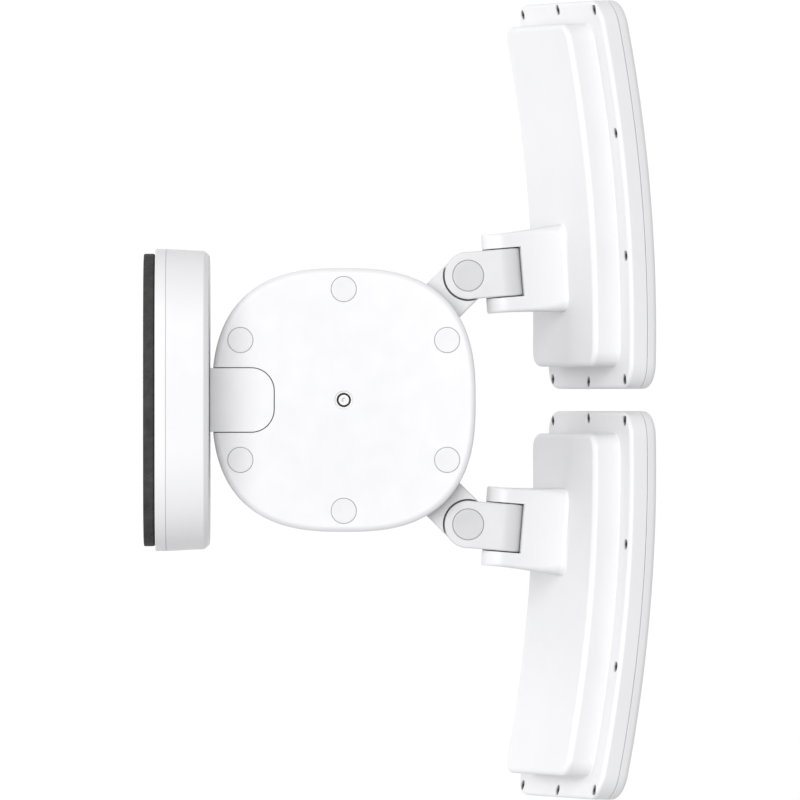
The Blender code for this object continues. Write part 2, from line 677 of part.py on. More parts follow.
def build_pan_yoke(pan):
    """In the pan frame: origin on the pan axis at the hub's centre height."""
    yoke = piece("pan_yoke", "white_plastic",
                 disc(YOKE_DISC_R, YOKE_DISC_LOW, YOKE_TOP, FINE, bevel_low=0.0008), pan)
    for side in (-1, 1):
        low, high = sorted((side * YOKE_ARM_IN, side * YOKE_ARM_OUT))
        join(yoke, sideways(prism(yoke_arm_outline(), low, high)))
    cut(yoke, disc(SHAFT_R + GAP, -0.030, 0.0, ROUND))
    for side in (-1, 1):
        low, high = sorted((side * (YOKE_ARM_IN + 0.0020), side * 0.040))
        cut(yoke, at(sideways(disc(0.0130, low, high, ROUND)), z=TILT_AXIS_Z),
            at(sideways(disc(TILT_PIN_R + GAP, *sorted((side * 0.026, side * 0.040)), SMALL)),
               z=TILT_AXIS_Z))
    shaft = piece("pan_shaft", "steel", disc(SHAFT_R, YOKE_DISC_LOW + 0.001, -0.0070, ROUND), pan)
    cut(shaft, disc(0.0030, -0.040, 0.010, SMALL))
    for side, word in ((-1, "left"), (1, "right")):
        low, high = sorted((side * (YOKE_ARM_OUT - 0.0012), side * YOKE_ARM_OUT))
        piece("yoke_cover_" + word, "white_plastic",
              at(sideways(disc(0.0127, low, high, ROUND)), z=TILT_AXIS_Z), pan)
    motor = piece("tilt_motor", "aluminium",
                  at(sideways(disc(0.0110, YOKE_ARM_IN + 0.0023, YOKE_ARM_OUT - 0.0016, ROUND)),
                     z=TILT_AXIS_Z), pan)
    cut(motor, at(sideways(disc(TILT_PIN_R + GAP, 0.020, 0.040, SMALL)), z=TILT_AXIS_Z))


def yoke_arm_outline():
    """The arm seen from the side, as heights below the hub and depths, round at its foot."""
    points = [(-YOKE_DISC_LOW - 0.001, YOKE_ARM_HALF), (-YOKE_DISC_LOW - 0.001, -YOKE_ARM_HALF)]
    for step in range(17):
        angle = radians(-90 + 180 * step / 16)
        points.append((-TILT_AXIS_Z + YOKE_ARM_HALF * cos(angle), YOKE_ARM_HALF * sin(angle)))
    return points


def barrel(radius, flat, half, low, high, edge=0.0):
    """The camera's body along the tilt axis, between two depths."""
    bm = sideways(disc(radius, -half, half, FINE))
    if edge:
        bevel(bm, lambda a, b: abs(a.x - b.x) < 1e-7 and abs(abs(a.x) - half) < 1e-7, edge, 2)
    for depth, outward in ((max(low, -flat), -1), (high, 1)):
        bisected = bmesh.ops.bisect_plane(bm, geom=bm.verts[:] + bm.edges[:] + bm.faces[:],
                                          plane_co=(0, depth, 0), plane_no=(0, outward, 0),
                                          clear_outer=True)
        rim = [item for item in bisected["geom_cut"] if isinstance(item, bmesh.types.BMEdge)]
        if rim:
            bmesh.ops.holes_fill(bm, edges=rim)
    return bm


def build_camera(tilt):
    """In the tilt frame: origin on the tilt axis, -Y forward."""
    wall = BARREL_WALL
    front = piece("camera_front_shell", "white_plastic",
                  barrel(BARREL_R, BARREL_FLAT, BARREL_HALF, -1.0, BARREL_SEAM, 0.0030), tilt)
    window = outwards(prism(rounded_rectangle(0.0205, 0.0145, 0.0060), 0.010, 0.030))
    cut(front, barrel(BARREL_R - wall, BARREL_FLAT - wall, BARREL_HALF - wall, -1.0, 0.010), window)
    rear = piece("camera_rear_shell", "white_plastic",
                 barrel(BARREL_R, BARREL_FLAT, BARREL_HALF, BARREL_SEAM + GAP, 1.0, 0.0030), tilt)
    cut(rear, barrel(BARREL_R - wall, BARREL_FLAT - wall, BARREL_HALF - wall, -0.010, 1.0))
    for side in (-1, 1):
        hole = sorted((side * 0.020, side * 0.030))
        for shell in (front, rear):
            cut(shell, sideways(disc(TILT_PIN_R + GAP, *hole, SMALL)))
    for side, word in ((-1, "left"), (1, "right")):
        foot = BARREL_HALF - wall - GAP
        pin = turned(((0.0062, 0.0222), (0.0062, foot), (TILT_PIN_R, foot), (TILT_PIN_R, 0.0335)), SMALL)
        piece("tilt_pin_" + word, "steel", mirrored(sideways(pin), side), tilt)
    glass = piece("front_glass", "dark_glass",
                  outwards(prism(rounded_rectangle(0.0202, 0.0142, 0.0057),
                                 BARREL_FLAT - 0.0018, BARREL_FLAT - 0.0002)), tilt)
    for name, x, radius in LENSES:
        cut(glass, at(outwards(disc(radius + 0.0002, 0.010, 0.030, ROUND)), x=x))
        lens = piece(name, "black_plastic",
                     at(outwards(disc(radius, 0.0060, BARREL_FLAT, ROUND, bevel_top=0.0008)), x=x), tilt)
        cut(lens, at(outwards(disc(0.62 * radius, BARREL_FLAT - 0.0016, 0.030, ROUND)), x=x))
    board = piece("camera_board", "circuit_green",
                  span((-0.020, -0.0055, -0.0130), (0.020, -0.0040, 0.0130)), tilt)
    join(board, span((-0.008, -0.0044, -0.008), (0.008, -0.0010, 0.008)))


# ---------------------------------------------------------------- assembly

def build_all():
    build_wall_plate()
    build_support_arm()
    build_hub()
    for side, word in ((-1, "left"), (1, "right")):
        build_light_arm(side, word)
        reach = REACH * cos(radians(45))
        yaw = empty("yaw_axis_" + word, (side * reach, HUB_Y - reach, 0), (0, 0, side * SPLAY))
        build_knuckle(side, word, yaw)
        pitch = empty("pitch_axis_" + word, (0, -PITCH_FORWARD, PITCH_Z), (TILT, 0, 0), yaw)
        build_lamp(side, word, pitch)
    pan = empty("pan_axis", (0, HUB_Y, 0), (0, 0, 0))
    build_pan_yoke(pan)
    tilt = empty("tilt_axis", (0, 0, TILT_AXIS_Z), (0, 0, 0), pan)
    build_camera(tilt)


clear_scene()
PARTS = new_collection("floodlight_camera")
CUTTERS = new_collection("cutters")
build_all()
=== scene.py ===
"""Looks of the floodlight security camera: finer shells, pins, screws, optics and materials
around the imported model. Metres, in the frame's own axes: the wall is Y=0, -Y is forward."""
import bmesh
import bpy
import json
from math import cos, pi, radians, sin, sqrt, tan
from mathutils import Matrix, Vector


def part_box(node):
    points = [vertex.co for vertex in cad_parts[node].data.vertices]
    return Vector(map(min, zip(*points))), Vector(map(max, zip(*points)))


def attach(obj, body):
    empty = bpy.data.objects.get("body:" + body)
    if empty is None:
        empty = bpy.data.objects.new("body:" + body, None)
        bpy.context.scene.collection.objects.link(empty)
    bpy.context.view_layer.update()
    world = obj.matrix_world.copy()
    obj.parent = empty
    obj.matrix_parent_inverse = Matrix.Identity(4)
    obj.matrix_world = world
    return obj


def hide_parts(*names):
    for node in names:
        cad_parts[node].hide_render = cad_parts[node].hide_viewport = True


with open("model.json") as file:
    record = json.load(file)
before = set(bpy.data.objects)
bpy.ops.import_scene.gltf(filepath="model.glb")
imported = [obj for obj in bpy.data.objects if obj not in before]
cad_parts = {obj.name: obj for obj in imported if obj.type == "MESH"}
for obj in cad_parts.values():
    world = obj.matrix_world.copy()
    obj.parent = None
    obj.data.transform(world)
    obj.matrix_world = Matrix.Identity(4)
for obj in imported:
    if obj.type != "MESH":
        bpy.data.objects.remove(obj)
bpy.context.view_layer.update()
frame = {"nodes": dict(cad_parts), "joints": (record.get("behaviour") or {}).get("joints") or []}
JOINTS = {joint["name"]: joint for joint in frame["joints"]}
GAP = 0.0003
SIDES = (("left", -1), ("right", 1))


# ---------------------------------------------------------------- materials

def shader_tree(name):
    """A new material with a Principled shader, its nodes and its links."""
    result = bpy.data.materials.new(name)
    result.use_nodes = True
    nodes = result.node_tree.nodes
    return result, nodes, result.node_tree.links, nodes["Principled BSDF"]


def give(node, values):
    """Set constants on a node's sockets."""
    for socket, value in values.items():
        node.inputs[socket].default_value = value


def textured(nodes, links, kind, values):
    """A texture or mapping node in the piece's own coordinates, which are metres."""
    where = nodes.new("ShaderNodeTexCoord")
    result = nodes.new(kind)
    give(result, values)
    links.new(where.outputs["Object"], result.inputs["Vector"])
    return result


def noise(nodes, links, scale, detail=4.0, roughness=0.5):
    values = {"Scale": scale, "Detail": detail, "Roughness": roughness}
    return textured(nodes, links, "ShaderNodeTexNoise", values).outputs["Fac"]


def ramp(nodes, links, value, low, high, low_at=0.3, high_at=0.7):
    """Two colours or two grey values, spread over a texture's range."""
    result = nodes.new("ShaderNodeValToRGB")
    result.color_ramp.elements[0].position = low_at
    result.color_ramp.elements[1].position = high_at
    for element, colour in zip(result.color_ramp.elements, (low, high)):
        element.color = (*colour, 1.0) if len(colour) == 3 else (colour[0],) * 3 + (1.0,)
    links.new(value, result.inputs["Fac"])
    return result.outputs["Color"]


def bump(nodes, links, height, shader, distance):
    result = nodes.new("ShaderNodeBump")
    give(result, {"Distance": distance, "Strength": 1.0})
    links.new(height, result.inputs["Height"])
    links.new(result.outputs["Normal"], shader.inputs["Normal"])


def moulded(name, low, high, rough, grain=2600.0, depth=0.00002):
    """Injection-moulded plastic: slight colour drift, patchy gloss and a fine spark-etched grain."""
    result, nodes, links, shader = shader_tree(name)
    drift = noise(nodes, links, 22.0, 3.0)
    links.new(ramp(nodes, links, drift, low, high), shader.inputs["Base Color"])
    patch = noise(nodes, links, 140.0, 5.0, 0.6)
    links.new(ramp(nodes, links, patch, (rough[0],), (rough[1],)), shader.inputs["Roughness"])
    bump(nodes, links, noise(nodes, links, grain, 3.0, 0.7), shader, depth)
    return result


def metal(name, low, high, rough):
    """Turned or drawn metal, with fine streaks along one axis."""
    result, nodes, links, shader = shader_tree(name)
    stretched = textured(nodes, links, "ShaderNodeMapping", {"Scale": (1, 1, 14)})
    texture = nodes.new("ShaderNodeTexNoise")
    give(texture, {"Scale": 900.0, "Detail": 5.0})
    links.new(stretched.outputs["Vector"], texture.inputs["Vector"])
    streaks = texture.outputs["Fac"]
    links.new(ramp(nodes, links, streaks, low, high), shader.inputs["Base Color"])
    links.new(ramp(nodes, links, streaks, (rough[0],), (rough[1],)), shader.inputs["Roughness"])
    bump(nodes, links, streaks, shader, 0.00001)
    give(shader, {"Metallic": 1.0})
    return result


def foam(name):
    """Closed-cell foam: small dimples and a dusty, uneven black."""
    result, nodes, links, shader = shader_tree(name)
    cells = textured(nodes, links, "ShaderNodeTexVoronoi", {"Scale": 1500.0})
    drift = noise(nodes, links, 260.0, 5.0, 0.65)
    links.new(ramp(nodes, links, drift, (0.036, 0.036, 0.037), (0.062, 0.062, 0.063)),
              shader.inputs["Base Color"])
    bump(nodes, links, cells.outputs["Distance"], shader, 0.00012)
    give(shader, {"Roughness": 0.95, "Specular IOR Level": 0.2})
    return result


def circuit(name):
    """Solder mask over faint copper tracks."""
    result, nodes, links, shader = shader_tree(name)
    tracks = textured(nodes, links, "ShaderNodeTexBrick", {
        "Scale": 260.0, "Mortar Size": 0.03, "Mortar": (0.06, 0.24, 0.09, 1),
        "Color1": (0.012, 0.10, 0.040, 1), "Color2": (0.016, 0.13, 0.055, 1)})
    links.new(tracks.outputs["Color"], shader.inputs["Base Color"])
    bump(nodes, links, tracks.outputs["Fac"], shader, 0.00004)
    give(shader, {"Roughness": 0.35})
    return result


def diffuser_material(name):
    """Milky polycarbonate with a fine prismatic grain."""
    result, nodes, links, shader = shader_tree(name)
    drift = noise(nodes, links, 30.0, 2.0)
    links.new(ramp(nodes, links, drift, (0.86, 0.87, 0.86), (0.90, 0.90, 0.88)),
              shader.inputs["Base Color"])
    cells = textured(nodes, links, "ShaderNodeTexVoronoi", {"Scale": 700.0})
    bump(nodes, links, cells.outputs["Distance"], shader, 0.00008)
    give(shader, {"Roughness": 0.28, "Transmission Weight": 0.45, "Subsurface Weight": 0.35,
                  "Subsurface Scale": 0.004})
    return result


def glass_black(name):
    """Dark window: glossy, with the faintest ripple of polish."""
    result, nodes, links, shader = shader_tree(name)
    drift = noise(nodes, links, 60.0, 2.0)
    links.new(ramp(nodes, links, drift, (0.006, 0.006, 0.008), (0.010, 0.010, 0.013)),
              shader.inputs["Base Color"])
    links.new(ramp(nodes, links, drift, (0.035,), (0.060,)), shader.inputs["Roughness"])
    give(shader, {"Coat Weight": 0.6, "Coat Roughness": 0.03})
    return result


def lens_painted_sheen(name, sheen_tint):
    """A coated lens element: dark, with a painted coloured sheen in its base colour, stronger where the
    surface turns away from the view.
    """
    result, nodes, links, shader = shader_tree(name)
    # painted sheen: the base colour turns from near black to the tint where the surface is seen at a slant
    edge = nodes.new("ShaderNodeLayerWeight")
    give(edge, {"Blend": 0.35})
    links.new(ramp(nodes, links, edge.outputs["Facing"], (0.004, 0.004, 0.010), sheen_tint, 0.05, 0.95),
              shader.inputs["Base Color"])
    links.new(ramp(nodes, links, noise(nodes, links, 90.0), (0.02,), (0.04,)),
              shader.inputs["Roughness"])
    give(shader, {"Coat Weight": 1.0, "Coat Roughness": 0.02})
    return result


WHITE = moulded("moulded_white", (0.750, 0.750, 0.766), (0.770, 0.770, 0.784), (0.40, 0.50))
# A darker copy of the same white plastic: painted shade for the light arms, the hub's lower shell and the
# yoke, which lie in the hub's shadow.
WHITE_PAINTED_SHADE = moulded("moulded_white_painted_shade", (0.630, 0.630, 0.646), (0.652, 0.652, 0.668), (0.42, 0.52))
# The same white plastic made darker: painted shade on the knuckles, which lie in the shadow of the hub and
# the plate.
WHITE_KNUCKLE_PAINTED_SHADE = moulded("moulded_white_knuckle_painted_shade", (0.625, 0.625, 0.641), (0.647, 0.647, 0.663), (0.42, 0.52))
WHITE_PLUG = moulded("moulded_white_plug", (0.725, 0.725, 0.741), (0.745, 0.745, 0.760), (0.45, 0.55))
# Greyer than the knuckle around it. Its colour also carries the same painted shade as the knuckle.
GREY_CAP_PAINTED_SHADE = moulded("moulded_grey_cap_painted_shade", (0.540, 0.540, 0.558), (0.560, 0.560, 0.578), (0.45, 0.55))
# A slightly darker copy of the white: painted shade on the bezels, which face forward and down, away from
# the light.
WHITE_BEZEL_PAINTED_SHADE = moulded("moulded_white_bezel_painted_shade", (0.715, 0.715, 0.728), (0.735, 0.735, 0.747), (0.36, 0.46))
BLACK = moulded("moulded_black", (0.016, 0.016, 0.018), (0.026, 0.026, 0.029), (0.42, 0.58), 1800.0)
RUBBER = moulded("rubber_black", (0.014, 0.014, 0.014), (0.024, 0.024, 0.024), (0.70, 0.85), 1200.0,
                 0.00005)
FOAM = foam("gasket_foam")
STEEL = metal("steel_screw", (0.50, 0.50, 0.51), (0.62, 0.62, 0.63), (0.28, 0.42))
ALUMINIUM = metal("aluminium_plate", (0.70, 0.70, 0.71), (0.80, 0.80, 0.81), (0.30, 0.45))
CIRCUIT = circuit("solder_mask")
DIFFUSER = diffuser_material("milky_diffuser")
GLASS = glass_black("window_black")
LENS_SHEEN_BLUE = lens_painted_sheen("lens_blue_painted_sheen", (0.05, 0.07, 0.22))
LENS_SHEEN_VIOLET = lens_painted_sheen("lens_violet_painted_sheen", (0.14, 0.05, 0.20))
GREY_STEEL = metal("zinc_screw", (0.36, 0.36, 0.36), (0.44, 0.44, 0.43), (0.40, 0.55))
DARK_STEEL = metal("blackened_screw", (0.10, 0.10, 0.11), (0.17, 0.17, 0.18), (0.35, 0.50))
PHOSPHOR = moulded("led_phosphor", (0.78, 0.62, 0.16), (0.86, 0.70, 0.22), (0.35, 0.5), 3000.0)


# ---------------------------------------------------------------- mesh helpers

def loft(loops):
    """Skin a row of closed loops that have as many points each, and close both ends."""
    bm = bmesh.new()
    rows = [[bm.verts.new(point) for point in loop] for loop in loops]
    count = len(rows[0])
    for row, following in zip(rows, rows[1:]):
        for index in range(count):
            after = (index + 1) % count
            bm.faces.new((row[index], row[after], following[after], following[index]))
    bm.faces.new(rows[0][::-1])
    bm.faces.new(rows[-1])
    bmesh.ops.recalc_face_normals(bm, faces=bm.faces)
    return bm


def squircle(half, power, count):
    """A rounded square that gets squarer with the power."""
    points = []
    for step in range(count):
        angle = 2 * pi * step / count
        x, y = cos(angle), sin(angle)
        size = half / (abs(x) ** power + abs(y) ** power) ** (1 / power)
        points.append((size * x, size * y))
    return points


def rounded_rectangle(half_x, half_y, radius, steps=10):
    points = []
    for side_x, side_y, start in ((1, 1, 0), (-1, 1, 90), (-1, -1, 180), (1, -1, 270)):
        for step in range(steps + 1):
            angle = radians(start + 90 * step / steps)
            points.append((side_x * (half_x - radius) + radius * cos(angle),
                           side_y * (half_y - radius) + radius * sin(angle)))
    return points


def fillet(level, size, steps, turn_in=True):
    """(inset, level) pairs round an edge. turn_in goes from a wall to a face, else back."""
    pairs = []
    for step in range(steps + 1):
        angle = pi / 2 * step / steps
        near, away = size * (1 - cos(angle)), size * (1 - sin(angle))
        pairs.append((near, level - away) if turn_in else (away, level + near))
    return pairs


def column_pairs(low, high, round_low, round_high, steps):
    """(inset, level) pairs up a column whose ends may be filleted."""
    pairs = fillet(low, round_low, steps, turn_in=False) if round_low else [(0, low)]
    return pairs + (fillet(high, round_high, steps) if round_high else [(0, high)])


def rounded_column(outline, low, high, round_low=0.0, round_high=0.0, steps=6):
    """A column with filleted ends. outline(inset) gives its loop, smaller by the inset."""
    return loft([[(x, y, level) for x, y in outline(inset)]
                 for inset, level in column_pairs(low, high, round_low, round_high, steps)])


def turned(profile, sides, middle=(0.0, 0.0)):
    """A solid turned about Z from (radius, height) pairs that run from foot to top."""
    loops = []
    for radius, height in profile:
        size = max(radius, 1e-6)
        loops.append([(middle[0] + size * cos(2 * pi * k / sides),
                       middle[1] + size * sin(2 * pi * k / sides), height) for k in range(sides)])
    return loft(loops)


def disc(radius, low, high, sides, rounding=0.0):
    pairs = column_pairs(low, high, rounding, rounding, 4)
    return turned([(radius - inset, level) for inset, level in pairs], sides)


def box_between(low, high):
    bm = bmesh.new()
    bmesh.ops.create_cube(bm, size=1.0)
    low, high = Vector(low), Vector(high)
    bmesh.ops.scale(bm, vec=high - low, verts=bm.verts)
    bmesh.ops.translate(bm, vec=(low + high) / 2, verts=bm.verts)
    return bm


def moved(bm, matrix):
    bmesh.ops.transform(bm, matrix=matrix, verts=bm.verts)
    if matrix.determinant() < 0:
        bmesh.ops.reverse_faces(bm, faces=bm.faces)
    return bm


def at(bm, x=0.0, y=0.0, z=0.0):
    return moved(bm, Matrix.Translation((x, y, z)))


OUTWARDS = Matrix.Rotation(radians(90), 4, "X")                       # +Z turns to -Y
SIDEWAYS = Matrix(((0, 0, 1, 0), (0, 1, 0, 0), (-1, 0, 0, 0), (0, 0, 0, 1)))    # +Z turns to +X


def combined(*shapes):
    """Several bmeshes in one, for a cutter of many separate holes."""
    result = bmesh.new()
    for bm in shapes:
        mesh = bpy.data.meshes.new("combined")
        bm.to_mesh(mesh)
        bm.free()
        result.from_mesh(mesh)
        bpy.data.meshes.remove(mesh)
    return result


def new_object(name, bm):
    mesh = bpy.data.meshes.new(name)
    bm.to_mesh(mesh)
    bm.free()
    result = bpy.data.objects.new(name, mesh)
    bpy.context.scene.collection.objects.link(result)
    return result


def apply_modifiers(obj):
    graph = bpy.context.evaluated_depsgraph_get()
    mesh = bpy.data.meshes.new_from_object(obj.evaluated_get(graph))
    obj.modifiers.clear()
    old = obj.data
    obj.data = mesh
    bpy.data.meshes.remove(old)


def discard(obj):
    mesh = obj.data
    bpy.data.objects.remove(obj)
    bpy.data.meshes.remove(mesh)


def boolean(obj, operation, bm):
    helper = new_object("helper", bm)
    modifier = obj.modifiers.new("boolean", "BOOLEAN")
    modifier.operation = operation
    modifier.solver = "EXACT"
    modifier.object = helper
    apply_modifiers(obj)
    discard(helper)


def taken(obj):
    """An object's mesh as a bmesh. The object is removed."""
    bm = bmesh.new()
    bm.from_mesh(obj.data)
    discard(obj)
    return bm


def finish_piece(obj, look, body, replaced=(), angle=32.0, slotted=True):
    """Smooth it, put its material on, and hang it on its body."""
    obj.data.materials.clear()
    obj.data.materials.append(look)
    obj.data.shade_smooth()
    obj.data.set_sharp_from_angle(angle=radians(angle))
    weighted = obj.modifiers.new("normals", "WEIGHTED_NORMAL")
    weighted.keep_sharp = True
    weighted.weight = 80
    apply_modifiers(obj)
    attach(obj, body)
    if replaced:
        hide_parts(*replaced)


def piece(name, bm, look, body, replaced=(), cuts=(), joins=(), **more):
    """A visible piece from a bmesh in the frame, with what is joined to it and cut from it."""
    obj = new_object(name, bm)
    for shape in joins:
        boolean(obj, "UNION", shape)
    for shape in cuts:
        boolean(obj, "DIFFERENCE", shape)
    finish_piece(obj, look, body, replaced, **more)


# ---------------------------------------------------------------- wall plate

PLATE_POWER, PLATE_STEPS = 4.0, 160
CHAMFER, DRAFT = 0.0018, 0.0009
HOLE_R, HOLE_Z = 0.016, 0.022
SHELL_WALL = 0.0025
CHANNEL = (0.008, 0.0045, 0.003)        # the wiring channel's half width, half height and corner


def plate_column(half, near, far, round_near, round_far):
    """A rounded-square slab that stands out from the wall, between two distances from it."""
    bm = rounded_column(lambda inset: squircle(half - inset, PLATE_POWER, PLATE_STEPS), near, far,
                        round_near, round_far, 4)
    return moved(bm, OUTWARDS)


def wiring_channel(near, far):
    """A cutter for the channel that leads the wires from the plate into the hub."""
    low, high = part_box("support_arm")
    channel = rounded_column(lambda inset: rounded_rectangle(*CHANNEL), near, far)
    return at(moved(channel, OUTWARDS), z=(low.z + high.z) / 2)


def build_plate():
    for node, name, look, proud, round_near, round_far in (
            ("wall_gasket", "gasket_pad", FOAM, 0.0, 0.0004, 0.0009),
            ("base_plate", "base_ring", WHITE, 0.00024, 0.0003, 0.0002)):
        low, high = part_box(node)
        hole = at(moved(disc(HOLE_R, -0.002, 0.030, 48), OUTWARDS), z=HOLE_Z)
        piece(name, plate_column(high.x, -high.y, -low.y + proud, round_near, round_far), look,
              "wall_mount", (node,), cuts=(hole,))
    half = high.x
    low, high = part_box("plate_cover")
    near, far = -high.y, -low.y
    # from the inner floor down to the rim, out, and up over the chamfer
    pairs = [(SHELL_WALL, far - SHELL_WALL), (SHELL_WALL, near), (SHELL_WALL - 0.0004, near),
             (0.0003, near), (0.0, near + 0.0003), (0.0, far - CHAMFER - 0.0006),
             (0.0001, far - CHAMFER - 0.0002), (0.0003, far - CHAMFER + 0.0001),
             (CHAMFER - 0.0003, far - 0.0003), (CHAMFER, far - 0.00008), (CHAMFER + 0.0005, far)]
    loops = []
    for inset, level in pairs:
        taper = DRAFT * (level - near) / (far - near)
        outline = squircle(half - inset - taper, PLATE_POWER, PLATE_STEPS)
        loops.append([(x, y, level) for x, y in outline])
    piece("plate_shell", moved(loft(loops), OUTWARDS), WHITE, "wall_mount", ("plate_cover",),
          cuts=(wiring_channel(0.02, 0.03),))


def build_plate_screws():
    slot_half, slot_wide, slot_deep = 0.0022, 0.0004, 0.0016
    for word, _ in SIDES:
        low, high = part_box("plate_screw_" + word)
        middle = (low + high) / 2
        top = -low.y
        profile = ((0.0021, -high.y), (0.0021, top - 0.0034), (0.0045, top - 0.0030),
                   (0.0045, top - 0.0012), (0.0040, top - 0.0005), (0.0028, top), (0.0, top))
        place = Matrix.Translation((middle.x, 0, middle.z)) @ OUTWARDS
        cross = []
        for turn in (20, 110):
            slot = box_between((-slot_half, -slot_wide, top - slot_deep),
                               (slot_half, slot_wide, top + 0.001))
            cross.append(moved(moved(slot, Matrix.Rotation(radians(turn), 4, "Z")), place))
        piece("plate_bolt_" + word, moved(turned(profile, 32), place), STEEL, "wall_mount",
              ("plate_screw_" + word,), cuts=cross)


def relook(node, look):
    """A CAD node whose shape is right keeps its mesh and gets a better material."""
    obj = frame["nodes"][node]
    obj.data.materials.clear()
    obj.data.materials.append(look)


def relook_inner_parts():
    for look, names in (
            (CIRCUIT, "power_board main_board camera_board"), (BLACK, "terminal_block speaker"),
            (ALUMINIUM, "pan_motor tilt_motor led_board_left led_board_right"),
            (RUBBER, "hub_seal case_seal_left case_seal_right"),
            (STEEL, "pan_shaft pitch_pin_left pitch_pin_right tilt_pin_left tilt_pin_right")):
        for name in names.split():
            relook(name, look)


# ---------------------------------------------------------------- hub and support arm

HUB_POWER = 2.65
RIM = 0.0023
HUB_WALL = 0.003
SEAM = 0.00032          # between the arm and the hub's pocket
TAB_CORNER = 0.0094


def arm_outline(half, near, far, corner):
    """The arm from above: square at the plate, round at its far end. Distances are along -Y."""
    def outline(inset):
        size = half - inset
        radius = corner - inset
        points = [(size, -near - inset), (-size, -near - inset)]
        for side, start in ((-1, 180), (1, 270)):
            for step in range(13):
                angle = radians(start + 90 * step / 12)
                points.append((side * (size - radius) + radius * cos(angle),
                               -far + inset + radius + radius * sin(angle)))
        return points
    return outline


def hub_loop(half, middle_y, inset, level):
    return [(x, middle_y + y, level) for x, y in squircle(half - inset, HUB_POWER, 192)]


def build_support_arm():
    low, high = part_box("support_arm")
    outline = arm_outline(high.x, -high.y, -low.y, TAB_CORNER)
    piece("arm_tab", rounded_column(outline, low.z, high.z, 0.0, 0.00035, 3), WHITE, "wall_mount",
          ("support_arm",), cuts=(wiring_channel(0.02, 0.06),))


def pocket():
    """The hub's pocket for the arm, open towards the plate."""
    low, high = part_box("support_arm")
    outline = arm_outline(high.x + SEAM, -high.y - 0.003, -low.y + SEAM, TAB_CORNER + SEAM)
    return rounded_column(outline, low.z - GAP, high.z + 0.003)


def build_hub():
    low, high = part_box("hub_top_cover")
    half, top = high.x, high.z
    middle_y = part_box("hub_lower_shell")[1].y - half
    pairs = [(HUB_WALL, top - 0.0042), (HUB_WALL, low.z), (0.0003, low.z), (0.0, low.z + 0.0003)]
    pairs += fillet(top, RIM, 8)
    cover = loft([hub_loop(half, middle_y, inset, level) for inset, level in pairs])
    wells = []
    for number in range(1, 7):
        wells.append(build_plug(number, top))
    # the centre screw's hole: a clearance bore, a step and a fine chamfer
    centre = ((0.0029, top - 0.0075), (0.0029, top - 0.0009), (0.0031, top - 0.0006),
              (0.0036, top - 0.0006), (0.0037, top - 0.0004), (0.0037, top - 0.0002),
              (0.0039, top + 0.00001), (0.0039, top + 0.002))
    wells.append(turned(centre, 64, (0, middle_y)))
    piece("hub_cap", cover, WHITE, "wall_mount", ("hub_top_cover",), cuts=(pocket(), combined(*wells)))
    build_centre_screw(middle_y)
    build_lower_shell(half, middle_y)


def build_plug(number, hub_top):
    """One of the hub's screw plugs. Its well in the hub is returned, as a cutter."""
    low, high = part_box("screw_plug_%d" % number)
    middle = (low + high) / 2
    radius = (high.x - low.x) / 2
    top = high.z
    profile = ((radius - 0.0003, low.z), (radius, low.z + 0.0003),
               (radius, top - 0.0003), (radius - 0.0001, top - 0.0001), (radius - 0.0003, top),
               (radius - 0.0012, top - 0.00002), (0.0, top - 0.00006))
    piece("plug_%d" % number, turned(profile, 56, (middle.x, middle.y)), WHITE_PLUG, "wall_mount",
          ("screw_plug_%d" % number,))
    groove, mouth = radius + 0.0001, radius + 0.00032
    return turned(((groove, low.z - GAP), (groove, hub_top - 0.00016), (mouth, hub_top + 0.00001),
                   (mouth, hub_top + 0.002)), 56, (middle.x, middle.y))


def build_centre_screw(middle_y):
    low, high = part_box("centre_screw")
    radius = (high.x - low.x) / 2
    profile = ((radius - 0.0002, low.z), (radius, low.z + 0.0002), (radius, high.z - 0.0003),
               (radius - 0.0003, high.z))
    socket = turned(((0.0011, high.z - 0.0018), (0.0011, high.z + 0.001)), 6, (0, middle_y))
    piece("centre_bolt", turned(profile, 40, (0, middle_y)), GREY_STEEL, "wall_mount", ("centre_screw",),
          cuts=(socket,))


def middle_along(node):
    low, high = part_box(node)
    return (low.y + high.y) / 2


def build_lower_shell(half, middle_y):
    low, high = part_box("hub_lower_shell")
    shaft_r, button_r, recess_r = 0.0053, 0.0039, 0.0045
    vent_r, vent_step, vent_row = 0.0006, 0.0026, 0.0024
    pairs = [(HUB_WALL, low.z + HUB_WALL), (HUB_WALL, high.z), (0.0003, high.z), (0.0, high.z - 0.0003)]
    pairs += [(inset, -level) for inset, level in fillet(-low.z, RIM, 8)]
    shell = loft([hub_loop(half, middle_y, inset, level) for inset, level in pairs])
    button_y, speaker_y = middle_along("sync_button"), middle_along("speaker")
    inside = low.z + 0.006
    holes = [turned(((shaft_r, low.z - 0.002), (shaft_r, inside)), 48, (0, middle_y)),
             turned(((recess_r, low.z - 0.001), (recess_r, low.z + 0.0004), (button_r, low.z + 0.0008),
                     (button_r, inside)), 40, (0, button_y))]
    for row, count in ((-1, 6), (0, 7), (1, 6)):
        for step in range(count):
            holes.append(turned(((vent_r, low.z - 0.002), (vent_r, inside)), 14,
                                (vent_step * (step - (count - 1) / 2), speaker_y + vent_row * row)))
    sockets = [arm_socket(side) for _, side in SIDES]
    piece("hub_bowl", shell, WHITE_PAINTED_SHADE, "wall_mount", ("hub_lower_shell",),
          cuts=(pocket(), combined(*holes), combined(*sockets)))
    low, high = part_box("sync_button")
    stem, radius, flange = 0.0036, (high.x - low.x) / 2, high.z - 0.0007
    piece("button_cap", turned(((stem - 0.0006, low.z), (stem - 0.0002, low.z + 0.0001),
                                (stem, low.z + 0.0004), (stem, flange), (radius, flange),
                                (radius, high.z)), 40, (0, button_y)),
          RUBBER, "button", ("sync_button",))


